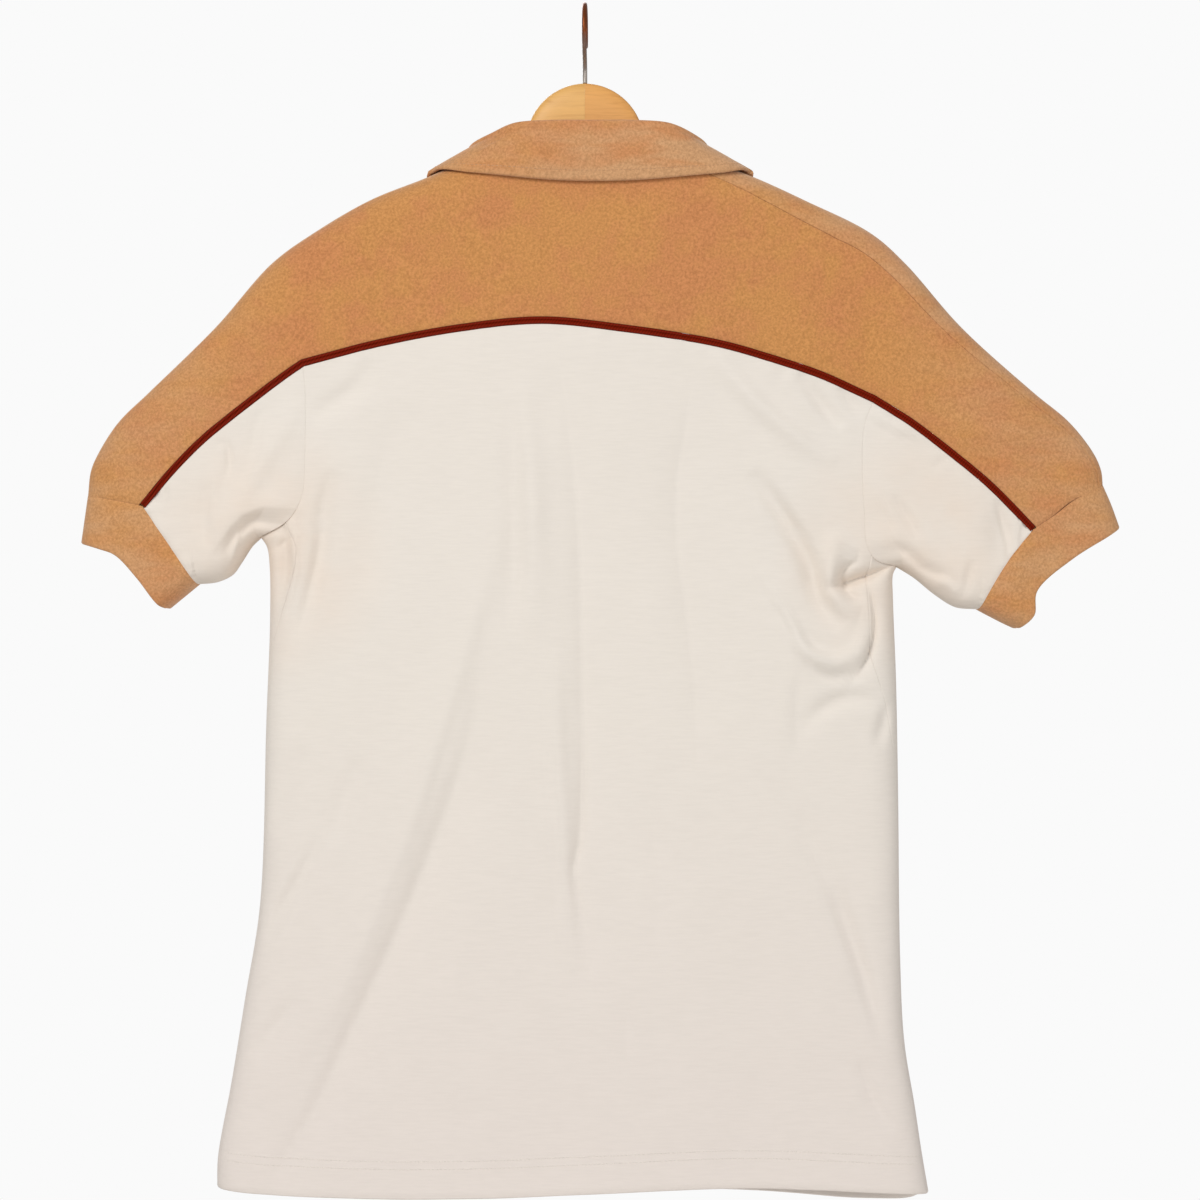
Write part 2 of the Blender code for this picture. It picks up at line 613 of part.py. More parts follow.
def front_yoke(half):
    """Terry front yoke with the front of the upper sleeve, wrapped over the shoulder."""
    lower = seam_beside(front_piping_line(half), -1)
    lower[-1, 0] = CENTRE_GAP
    fold = shoulder_stations(half)[1][::-1]
    neck = along(smooth_line(FRONT_NECK), np.linspace(0, 1, FRONT_NECK_STEPS + 1))
    neck[-1, 0] = CENTRE_GAP
    upper = np.vstack([fold, neck[1:]])
    rows = crowded(YOKE_ROWS)
    end = along(cuff_seam(half, FRONT, "top")[::-1], rows)
    centre = lower[-1] + (upper[-1] - lower[-1]) * rows[:, None]
    grid = patch(lower, upper, end, centre, np.linspace(0, 1, len(lower)), rows)
    seam = shoulder_seam(half, -1)[::-1]
    wrap = fold + (seam - fold) * (1 - crowded(SHOULDER_WRAP_STEPS))[::-1, None, None][1:]
    wrap = np.concatenate([wrap, np.repeat(wrap[:, -1:], FRONT_NECK_STEPS, axis=1)], axis=1)
    grid = np.concatenate([grid, wrap])
    layer = np.full(grid.shape[:2], FRONT)
    layer[YOKE_ROWS + 1:] = BACK
    present = np.ones(grid.shape[:2], bool)
    present[YOKE_ROWS + 1:, len(fold):] = False
    grid = in_frame(grid, half)
    return cloth_panel(f"front_yoke_{half}", grid, layer, "terry", TERRY, sleeve=True, present=present)


def in_frame(grid, half):
    """A half's grid in the shared frame."""
    return mirrored(grid.reshape(-1, 2), half).reshape(grid.shape)


def under_sleeve(half):
    """Jersey lower sleeve, from the back piping round the underarm to the front piping.

    Near the underarm fold its rows turn square to the fold.
    """
    sheets = []
    for layer in (BACK, FRONT):
        piping_edge = sleeve_edge(half, layer)
        hole = armhole(half, layer)
        hole[0] = piping_edge[0]
        cuff_edge = along(cuff_seam(half, layer, "bottom"), crowded(ARMHOLE_STEPS))
        under = along(smooth_line(OUTLINE[half]["underarm"]), np.linspace(0, 1, SLEEVE_STEPS + 1))
        cuff_edge[0] = piping_edge[-1]
        across = crowded(ARMHOLE_STEPS)[:, None]
        up = np.linspace(0, 1, SLEEVE_STEPS + 1)
        sheet = patch(hole, cuff_edge, piping_edge, under, across[:, 0], up, hold=3)
        reach = np.linalg.norm(piping_edge - under, axis=1)[:, None, None] * (1 - across)
        inward = mirrored(edge_distance(mirrored(under, half))[1], half)
        square = under[:, None] + inward[:, None] * reach
        sheet[1:-1] += (across ** 3 * (square - sheet))[1:-1]
        sheets.append(sheet)
    grid = np.concatenate([sheets[0], sheets[1][:, -2::-1]], axis=1)
    layer = np.full(grid.shape[:2], BACK)
    layer[:, ARMHOLE_STEPS + 1:] = FRONT
    name = f"under_sleeve_{half}"
    return cloth_panel(name, in_frame(grid, half), layer, "jersey", JERSEY, sleeve=True)


def flank_stations(half):
    """Places down the side fold, hem to underarm, in the half's own frame."""
    return along(smooth_line(OUTLINE[half]["flank"])[::-1], np.linspace(0, 1, FLANK_STEPS + 1))


def side_seam(half, side):
    """The side seam on the back layer, hem to armpit; side +1 is the back panel's edge."""
    fold = flank_stations(half)
    reach = seam_inset(half, "side_inset", fold[:, 1]) + side * SEAM_GAP / 2
    seam = fold - reach[:, None] * np.array([1.0, 0.0])
    corner = shifted(armhole(half, BACK), -SEAM_GAP)[ARMHOLE_STEPS - WRAP_STEPS]
    seam[-1] = corner - [side * SEAM_GAP / 2, 0]
    return seam


def both_ends_crowded(steps):
    """Fractions from 0 to 1 with short steps at both ends."""
    half = 0.5 * (1 - crowded(steps // 2, SIDE_CROWDING))[::-1]
    return np.concatenate([half, 1 - half[-2::-1]])


def back_body():
    """Jersey back panel, from the hem up to the yoke seam."""
    edges = []
    for half in ("left", "right"):
        hole = shifted(armhole(half, BACK), -SEAM_GAP)[ARMHOLE_STEPS - WRAP_STEPS - 1::-1]
        edges.append(mirrored(np.vstack([side_seam(half, 1), hole]), half))
    top = seam_beside(back_piping_line(), 1)[SLEEVE_STEPS:-SLEEVE_STEPS]
    top[0] -= [SEAM_GAP, 0]
    top[-1] += [SEAM_GAP, 0]
    for edge, corner in zip(edges, (top[0], top[-1])):
        edge[-1] = corner
    heights = 0.5 * (edges[0] + edges[1])[:, 1]
    up = (heights - heights[0]) / (heights[-1] - heights[0])
    even = middle_fractions()
    blend = np.clip((1 - up) / (1 - up[FLANK_STEPS]), 0, 1)[:, None]
    across = blend * both_ends_crowded(len(even) - 1) + (1 - blend) * even
    hem = smooth_line(BACK_HEM)
    hem[0], hem[-1] = edges[0][0], edges[1][0]
    grid = patch(along(hem, across), top, edges[0], edges[1], across, up)
    return cloth_panel("back_body", grid, BACK, "jersey", JERSEY)


def front_body():
    """Jersey front panel, wrapped round both sides on to the back."""
    edges, wraps = [], []
    reach = (1 - crowded(WRAP_STEPS))[:-1, None, None]
    for half in ("left", "right"):
        fold = flank_stations(half)
        hole = shifted(armhole(half, BACK), -SEAM_GAP)
        fold[-1] = hole[-1]
        front_hole = shifted(armhole(half, FRONT), -SEAM_GAP)[-2::-1]
        edges.append(mirrored(np.vstack([fold, front_hole]), half))
        wrap = fold + (side_seam(half, -1) - fold) * reach
        wrap[1:, -1] = hole[ARMHOLE_STEPS - WRAP_STEPS + 1:-1]
        wraps.append(in_frame(wrap, half).transpose(1, 0, 2))
    halves = [mirrored(seam_beside(front_piping_line(half), 1)[SLEEVE_STEPS:], half)
              for half in ("left", "right")]
    top = np.vstack([halves[0], halves[1][-2::-1]])
    top[0] -= [SEAM_GAP, 0]
    top[-1] += [SEAM_GAP, 0]
    for edge, corner in zip(edges, (top[0], top[-1])):
        edge[-1] = corner
    heights = 0.5 * (edges[0] + edges[1])[:, 1]
    up = (heights - heights[0]) / (heights[-1] - heights[0])
    even = np.linspace(0, 1, len(top))
    blend = np.clip((1 - up) / (1 - up[FLANK_STEPS]), 0, 1)[:, None]
    across = blend * both_ends_crowded(len(even) - 1) + (1 - blend) * even
    hem = smooth_line(FRONT_HEM)
    hem[0], hem[-1] = edges[0][0], edges[1][0]
    grid = patch(along(hem, across), top, edges[0], edges[1], across, up)
    rows, columns = grid.shape[:2]
    full = np.zeros((rows, columns + 2 * WRAP_STEPS, 2))
    full[:, WRAP_STEPS:-WRAP_STEPS] = grid
    full[:FLANK_STEPS + 1, :WRAP_STEPS] = wraps[0]
    full[:FLANK_STEPS + 1, -WRAP_STEPS:] = wraps[1][:, ::-1]
    full[FLANK_STEPS + 1:, :WRAP_STEPS] = grid[FLANK_STEPS + 1:, :1]
    full[FLANK_STEPS + 1:, -WRAP_STEPS:] = grid[FLANK_STEPS + 1:, -1:]
    layer = np.full(full.shape[:2], BACK)
    layer[:, WRAP_STEPS:-WRAP_STEPS] = FRONT
    present = np.ones(full.shape[:2], bool)
    present[FLANK_STEPS + 1:, :WRAP_STEPS] = False
    present[FLANK_STEPS + 1:, -WRAP_STEPS:] = False
    return cloth_panel("front_body", full, layer, "jersey", JERSEY, present=present)


def cuff(half):
    """Terry cuff: a ring round the sleeve end, from its seam to its edge."""
    seams, layers = [], []
    for layer in (BACK, FRONT):
        upper = along(cuff_seam(half, layer, "top")[::-1], crowded(YOKE_ROWS))[::-1]
        lower = along(cuff_seam(half, layer, "bottom"), crowded(ARMHOLE_STEPS))
        seams.append(np.vstack([upper, lower[1:]]))
        layers.append(np.full(len(seams[-1]), layer))
    ring = np.vstack([seams[0], seams[1][-2:0:-1]])
    layer = np.concatenate([layers[0], layers[1][-2:0:-1]])
    edge_line = smooth_line(SEAMS[half]["cuff_edge"])
    edges = []
    for seam in seams:
        reach = np.concatenate([[0], np.cumsum(np.linalg.norm(np.diff(seam, axis=0), axis=1))])
        edges.append(along(edge_line, reach / reach[-1]))
    edge = np.vstack([edges[0], edges[1][-2:0:-1]])
    length = np.linalg.norm(edge - ring, axis=1)[:, None]
    start = ring + (edge - ring) * SEAM_GAP * CUFF_START / length
    grid = start + (edge - start) * np.linspace(0, 1, CUFF_STEPS + 1)[:, None, None]
    layer = np.broadcast_to(layer, grid.shape[:2])
    name = f"cuff_{half}"
    return cloth_panel(name, in_frame(grid, half), layer, "terry", TERRY, sleeve=True, ring=True)


# --------------------------------------------------------------- collar and placket

def collar_line(column, fractions):
    """One of the collar's guide lines round the whole neck, right front to left front."""
    half = np.array([(*row[column], row[3]) for row in COLLAR_ROWS], float)
    other = half[:0:-1].copy()
    other[:, 0] *= -1
    line = along_index(np.vstack([other, half]), fractions)
    line[:, 0] += COLLAR_SHIFT[column] * (1 + line[:, -1]) / 2
    return line


def along_index(points, fractions):
    """Smooth curve through the points, read at fractions of the count of points."""
    per_span = 12
    line = smooth_line(points, per_span)
    at = np.asarray(fractions) * (len(line) - 1)
    return np.stack([np.interp(at, np.arange(len(line)), line[:, k]) for k in range(line.shape[1])], axis=1)


def collar():
    """Folded terry collar: stand, fold and fall, open at the front.

    Each section runs up the stand, over a fold of small radius and down the fall to an
    edge that lies on the yoke.
    """
    spans = [np.linspace(k, k + 1, steps + 1)[1:] for k, steps in enumerate(COLLAR_SECTIONS)]
    half_way = np.concatenate(spans) / (len(COLLAR_ROWS) - 1)
    fractions = 0.5 + 0.5 * np.concatenate([-half_way[::-1], [0], half_way])
    foot, fold, rim = (collar_line(k, fractions) for k in range(3))
    fold = fold[:, :3]
    layer = np.where(rim[:, 2] > 0, BACK, FRONT)
    stand, out = cloth(foot[:, :2], layer, sleeve=True)
    stand -= STAND_INSET * out
    edge = cloth(rim[:, :2], layer, lift=COLLAR_LIFT, sleeve=True)[0]
    tangent = np.gradient(fold, axis=0)
    tangent /= np.linalg.norm(tangent, axis=1)[:, None]
    outward = np.cross(tangent, [0, 0, 1.0])
    outward /= np.linalg.norm(outward, axis=1)[:, None]
    outward *= np.sign((outward * (edge - stand)).sum(axis=1))[:, None]
    upward = np.cross(outward, tangent)
    upward *= np.sign(upward[:, 2])[:, None]
    centre = fold - COLLAR_ROLL * upward
    rows = [stand]
    turned = [centre + COLLAR_ROLL * (math.cos(a) * outward + math.sin(a) * upward)
              for a in np.linspace(math.pi, 0, COLLAR_ROLL_STEPS + 1)]
    rows += [stand + (turned[0] - stand) * t for t in np.linspace(0, 1, STAND_STEPS + 1)[1:-1]]
    rows += turned
    for t in np.linspace(0, 1, FALL_STEPS + 1)[1:]:
        rows.append(turned[-1] + (edge - turned[-1]) * t + COLLAR_BULGE * math.sin(math.pi * t) * outward)
    points = np.array(rows)
    fall = points[-FALL_STEPS - 1:]
    sheet = np.where(fall[..., 1] >= middle(fall[..., 0]), BACK, FRONT)
    cover = cloth(fall[..., [0, 2]], sheet, lift=COLLAR_LIFT, sleeve=True)[0][..., 1]
    fall[..., 1] = np.where(sheet == BACK, np.maximum(fall[..., 1], cover), np.minimum(fall[..., 1], cover))
    normals = grid_normals(points)
    if (normals[-2] * outward).sum() < 0:
        normals = -normals
    faces = grid_faces(*points.shape[:2])
    return walled("collar", points, points - COLLAR_THICKNESS * normals, faces, "terry")


def grid_normals(points):
    """Unit normals of a grid from its own differences, evened out along its rows."""
    normals = np.cross(np.gradient(points, axis=0), np.gradient(points, axis=1))
    normals /= np.linalg.norm(normals, axis=2)[..., None]
    for _ in range(NORMAL_PASSES):
        padded = np.pad(normals, ((0, 0), (1, 1), (0, 0)), mode="edge")
        normals = padded[:, :-2] + 2 * normals + padded[:, 2:]
        normals /= np.linalg.norm(normals, axis=2)[..., None]
    return normals


def placket():
    """Button placket: a strip that lies on the front yoke and body."""
    x = np.linspace(-PLACKET_HALF_WIDTH, PLACKET_HALF_WIDTH, PLACKET_COLUMNS)
    z = np.linspace(PLACKET_BOTTOM, PLACKET_TOP, PLACKET_ROWS)
    grid = np.stack(np.meshgrid(x, z), axis=-1)
    points, normals = cloth(grid, FRONT, lift=PLACKET_THICKNESS + SEAM_GAP)
    faces = grid_faces(*points.shape[:2])
    return walled("placket", points, points - PLACKET_THICKNESS * normals, faces, "terry")


def button(number, height):
    """Moulded button: a disc with a raised rim and a dished face, turned about Y."""
    face = cloth(np.array([[0.0, height]]), FRONT, lift=PLACKET_THICKNESS + 2 * SEAM_GAP)[0][0, 1]
    turns = np.linspace(0, 2 * math.pi, BUTTON_SIDES + 1)[:-1]
    rings = []
    for radius, depth in BUTTON_PROFILE:
        rings.append(np.stack([radius * np.cos(turns), np.full(BUTTON_SIDES, face - depth),
                               height + radius * np.sin(turns)], axis=1))
    return closed_tube(f"button_{number}", np.array(rings), "button")


# ---------------------------------------------------------------------------- piping

def piping(name, line, layer):
    """Two cords side by side along a seam, proud of the cloth but flat under the placket."""
    line = line.copy()
    for end, inner in ((0, 1), (-1, -2)):
        step = line[inner] - line[end]
        line[end] += step / np.linalg.norm(step) * PIPING_END_GAP
    proud = np.ones(len(line))
    if layer == FRONT:
        proud = np.clip((np.abs(line[:, 0]) - PLACKET_HALF_WIDTH) / PIPING_RISE, PIPING_SUNK, 1)
    strips = []
    for offset, height in PIPING_SECTION:
        at = shifted(line, offset)
        points, normals = cloth(at, layer, sleeve=True)
        raised = height * proud if height > 0 else np.full(len(line), height)
        strips.append(points + raised[:, None] * normals)
    points = np.array(strips).transpose(1, 0, 2)
    return closed_tube(name, points, "piping")


# ---------------------------------------------------------------------------- hanger

def hanger_half(half):
    """One wooden half: a half-round head that runs into an arm under the shoulder."""
    head = HANGER_HEAD_RADIUS * np.sin(np.linspace(0, HANGER_HEAD_SWEEP, HANGER_HEAD_STEPS + 1))
    ends = [HANGER_TIP - short for short, _ in HANGER_END_SIZES]
    arm = np.linspace(HANGER_ARM_START, ends[0], HANGER_ARM_STEPS + 1)
    x = np.concatenate([[CENTRE_GAP], head[1:], arm, ends[1:]])
    shoulder = smooth_line(OUTLINE[half]["shoulder"])
    under = shifted(shoulder, -HANGER_CLEARANCE)
    over = np.interp(x, under[:, 0], under[:, 1])
    over = np.where(x < HANGER_NECK_TOP[-1][0], table(HANGER_NECK_TOP, x), over)
    round_head = HANGER_HEAD_CENTRE + np.sqrt(np.maximum(HANGER_HEAD_RADIUS ** 2 - x ** 2, 0))
    top = np.where(x < HANGER_HEAD_RADIUS, round_head, over)
    bottom = table(HANGER_BOTTOM, x)
    size = np.ones(len(x))
    size[-len(ends):] = [share for _, share in HANGER_END_SIZES]
    centre = 0.5 * (top + bottom)
    tall = 0.5 * (top - bottom) * size
    thick = table(HANGER_HALF_THICKNESS, x) * size
    turns = np.linspace(0, 2 * math.pi, HANGER_SIDES + 1)[:-1]
    squared = [np.sign(f) * np.abs(f) ** HANGER_SQUARENESS for f in (np.cos(turns), np.sin(turns))]
    ridge = HANGER_RIDGE * np.clip(1 - x / HANGER_HEAD_RADIUS, 0, 1)
    y = (middle(x) + ridge)[:, None] + thick[:, None] * squared[0]
    z = centre[:, None] + tall[:, None] * squared[1]
    points = np.stack([np.broadcast_to(x[:, None], y.shape), y, z], axis=2)
    points[..., 0] *= 1 if half == "left" else -1
    return closed_tube(f"hanger_{half}", points, "wood")


def hook():
    """Wire hook: a stem that bends out into a round hook whose top is over the stem."""
    centre = WIRE_RADIUS - HOOK_RADIUS
    around = np.linspace(*HOOK_ARC, HOOK_STEPS)
    arc = np.stack([HOOK_RADIUS * np.cos(around), centre + HOOK_RADIUS * np.sin(around)], axis=1)
    path = np.vstack([HOOK_BEND, arc])
    tangent = np.gradient(path, axis=0)
    tangent /= np.linalg.norm(tangent, axis=1)[:, None]
    tangent[0] = (0, 1)
    turns = np.linspace(0, 2 * math.pi, WIRE_SIDES + 1)[:-1]
    side = np.stack([-tangent[:, 1], tangent[:, 0]], axis=1)
    y = path[:, :1] + WIRE_RADIUS * side[:, :1] * np.cos(turns)
    z = path[:, 1:] + WIRE_RADIUS * side[:, 1:] * np.cos(turns)
    x = np.broadcast_to(WIRE_RADIUS * np.sin(turns), y.shape)
    c, s = math.cos(HOOK_TURN), math.sin(HOOK_TURN)
    points = np.stack([c * x - s * y, s * x + c * y, z], axis=2)
    return closed_tube("hanger_hook", points, "wire")


def main():
    for thing in list(bpy.data.objects):
        bpy.data.objects.remove(thing, do_unlink=True)
    back_yoke()
    back_body()
    front_body()
    for half in ("left", "right"):
        front_yoke(half)
        under_sleeve(half)
        cuff(half)
        piping(f"piping_front_{half}", mirrored(front_piping_line(half), half), FRONT)
        hanger_half(half)
    piping("piping_back", back_piping_line(), BACK)
    collar()
    placket()
    for number, height in enumerate(BUTTON_HEIGHTS, 1):
        button(number, height)
    hook()


main()
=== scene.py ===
"""Polo shirt hung on a wooden hanger: the finished cloth, trims, hanger and studio.

The garment is two layers of cloth, back and front, that meet in a rounded fold along
one closed outline.  A point is given by where it lies in the outline (x, z) and by its
layer.  Its depth is the half depth there, plus the folds, creases and puckers there,
times a squared ellipse quarter that runs from nothing at the outline to full depth one fold
radius inside it.  Every panel is a grid of such points between its own seams, given a
wall of cloth inwards, and it takes the place of the solid of the same piece.  The
tables repeat the solids' own sizes, in millimetres, and add the finer creases.
"""
import math

import bpy
import numpy as np
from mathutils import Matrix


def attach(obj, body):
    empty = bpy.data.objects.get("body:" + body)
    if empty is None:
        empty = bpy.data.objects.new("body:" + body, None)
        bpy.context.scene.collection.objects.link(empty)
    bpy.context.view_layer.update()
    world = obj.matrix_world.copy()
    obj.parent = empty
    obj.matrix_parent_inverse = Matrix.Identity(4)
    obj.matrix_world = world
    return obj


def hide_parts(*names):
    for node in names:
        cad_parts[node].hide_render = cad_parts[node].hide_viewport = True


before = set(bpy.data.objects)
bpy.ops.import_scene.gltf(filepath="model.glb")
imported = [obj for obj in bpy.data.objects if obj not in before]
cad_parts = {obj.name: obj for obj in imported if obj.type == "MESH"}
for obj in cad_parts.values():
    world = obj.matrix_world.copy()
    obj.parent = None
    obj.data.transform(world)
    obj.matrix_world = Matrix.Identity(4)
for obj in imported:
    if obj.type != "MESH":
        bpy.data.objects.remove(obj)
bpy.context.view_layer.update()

bl_info = {
    "name": "Polo shirt on a hanger",
    "version": (1, 0, 0),
    "blender": (4, 5, 0),
    "location": "View3D > Sidebar > Polo shirt",
    "description": "Makes the cloth, trims, hanger and studio of a hung polo shirt",
    "category": "Add Mesh",
}

MM = 0.001
BODY = "root"
BACK, FRONT = 1, -1
HALVES = ("left", "right")

# Seams: what parts the pieces beside the piping, and what parts them where cloth meets cloth.
SEAM_GAP = 0.3
CLOSED_SEAM = 0.02

# The folded form: radius of the folds in the outline, and how the layers bow forward
# over the contoured hanger.
FOLD_RADIUS = 32.0
FOLD_SQUARENESS = 3.0
CUFF_FOLD_RADIUS = 24.0
BOW = 8.0
BOW_REACH = 210.0
SHOULDER_POINT = 200.0

# Half depth of the body: height, half depth.
HALF_DEPTH = ((-860, 20), (-620, 23), (-400, 25), (-230, 27.5), (-107, 29))
# What the sleeve's roundness adds: distance out from the armhole, extra half depth.
SLEEVE_PUFF = ((0, 0), (30, 2), (70, 3.5), (110, 1), (145, -3), (185, -5))

# Stations: how many steps each seam is divided into, and how they crowd towards a fold.
SLEEVE_STEPS = 76
SHOULDER_STEPS = 78
NECK_STEPS = 100
FRONT_NECK_STEPS = 26
YOKE_ROWS = 56
ARMHOLE_STEPS = 66
WRAP_STEPS = 24
FLANK_STEPS = 124
CUFF_STEPS = 16
SHOULDER_WRAP_STEPS = 14
FOLD_CROWDING = 1.8
SIDE_CROWDING = 1.4
FLANK_CROWDING = 1.4

# Shares of the seams: how much of the shoulder is beside the body, of the back piping beside
# each shoulder blade, of the front piping under the neck, and where that piping meets the cuff.
SHOULDER_SHARE = 0.34
YOKE_SIDE_SHARE = 0.3
FRONT_NECK_SHARE = 0.39
FRONT_CUFF_SHARE = 0.47

# The two fronts, and the two hanger halves, stop short of the centre line.
CENTRE_GAP = 0.03
# A cuff starts this many seam widths out from the sleeve.
CUFF_START = 1.2
# Lengths below this count as none.
TINY = 1e-6
# Outline segments this near to each other's distance share a corner, and a point this near
# to the outline is on it.
CORNER_TIE = 1e-3
ON_THE_LINE = 0.5

# Outline of each half, in mm out from the centre line and up from the hook.
OUTLINE = {
    "left": {
        "shoulder": ((78, -107), (113, -122.3), (153, -138), (193, -160.8), (224, -183),
                     (264, -228), (312, -274), (335, -296), (350, -319), (355, -331),
                     (357, -348.5)),
        "cuff_fold": ((357, -348.5), (362, -382.7)),
        "cuff_under": ((277, -412), (299, -430)),
        "underarm": ((232, -378.5), (238.5, -384.5), (246.5, -396.5), (253, -405.2),
                     (264, -410.5), (277, -412)),
        "flank": ((232, -378.5), (227.5, -385.5), (225.6, -400), (225.4, -440), (228, -509),
                  (232.5, -640), (243, -706), (253, -767), (263, -822), (263.5, -843)),
    },
    "right": {
        "shoulder": ((78, -107), (120, -121.8), (157, -138.3), (204, -161.3), (229, -183),
                     (269, -228), (321, -274), (348, -296), (366, -319), (371, -331), (372, -341)),
        "cuff_fold": ((372, -341), (378, -354.5), (384.3, -371.5)),
        "cuff_under": ((281, -430), (301, -441), (309, -444)),
        "underarm": ((223, -399.5), (236, -407.5), (251, -419.5), (266, -428.5), (281, -430)),
        "flank": ((223, -399.5), (220.3, -405), (220.3, -423), (222.5, -480), (224, -560),
                  (225.5, -680), (228.5, -739), (236, -785), (241, -818), (246, -847)),
    },
}

# Seams of each half.  "inset" tables give how far in from the outline the seam lies,
# always on the back layer.
SEAMS = {
    "left": {
        "sleeve_piping": ((200, -255.5), (213, -264.4), (243, -287), (271, -309.7),
                          (294, -332.5), (314.5, -356.5)),
        "armhole": ((200, -255.5), (198, -281), (198.3, -317), (199.5, -344), (203, -356),
                    (210, -366), (220, -373), (232, -378.5)),
        "shoulder_inset": ((0, 2.5), (1, 2.5)),
        "side_inset": ((-380, 24), (-400, 20), (-423, 13), (-452, 4), (-470, 2.5), (-860, 2.5)),
        "cuff_top": ((357, -348.5), (336, -352), (314.5, -356.5)),
        "cuff_bottom": ((314.5, -356.5), (307.5, -367), (293, -388), (277, -412)),
        "cuff_edge": ((362, -382.7), (347, -387), (335, -391.5), (319, -408), (304, -427),
                      (299, -430)),
    },
    "right": {
        "sleeve_piping": ((205, -281), (232, -298), (262, -320.7), (289.5, -343.5), (319, -373)),
        "armhole": ((205, -281), (198, -300), (196.5, -330), (198, -360), (200, -385),
                    (207, -395), (223, -399.5)),
        "shoulder_inset": ((0, 10), (0.15, 15), (0.3, 18), (0.5, 15), (0.7, 10), (1, 5)),
        "side_inset": ((-399, 21), (-435, 19), (-462, 20), (-497, 9), (-532, 3.5), (-575, 2.5),
                       (-860, 2.5)),
        "cuff_top": ((372, -341), (349, -352), (335, -362.5), (319, -373)),
        "cuff_bottom": ((319, -373), (312, -381.5), (302, -394), (291, -411), (281, -430)),
        "cuff_edge": ((384.3, -371.5), (374, -378), (348, -394), (322, -417), (320, -434),
                      (311, -443), (309, -444)),
    },
}

# Back yoke seam between the armholes, left to right, and the lines of the hidden front.
BACK_PIPING = ((200, -255.5), (148.5, -242.3), (88, -231.1), (31.5, -225.8), (-24, -231),
               (-94, -242), (-136, -253.7), (-168, -264.4), (-205, -281))
FRONT_KINK = (202, -266)
FRONT_ARMHOLE_BENDS = ((198, -300), (199, -345))
FRONT_ARMHOLE_LEAD = (-11, 11)
FRONT_PIPING = ((0, -229), (50, -231), (110, -239), (160, -251), (202, -266))
FRONT_SLEEVE_BEND = (262, -308)
BACK_NECK = ((78, -107), (70, -109.5), (50, -111.5), (0, -112.5), (-50, -111.5), (-70, -109.5),
             (-78, -107))
FRONT_NECK = ((78, -107), (75, -116), (62, -133), (38, -153), (0, -171))
BACK_HEM = ((263.5, -843), (230, -846), (170, -848.3), (68, -847.5), (-3, -844.5), (-85, -841),
            (-132, -841), (-220, -845.5), (-246, -847))
FRONT_HEM = ((263.5, -843), (200, -845), (0, -847), (-60, -846.5), (-120, -848.5), (-205, -855),
             (-236, -854), (-246, -847))

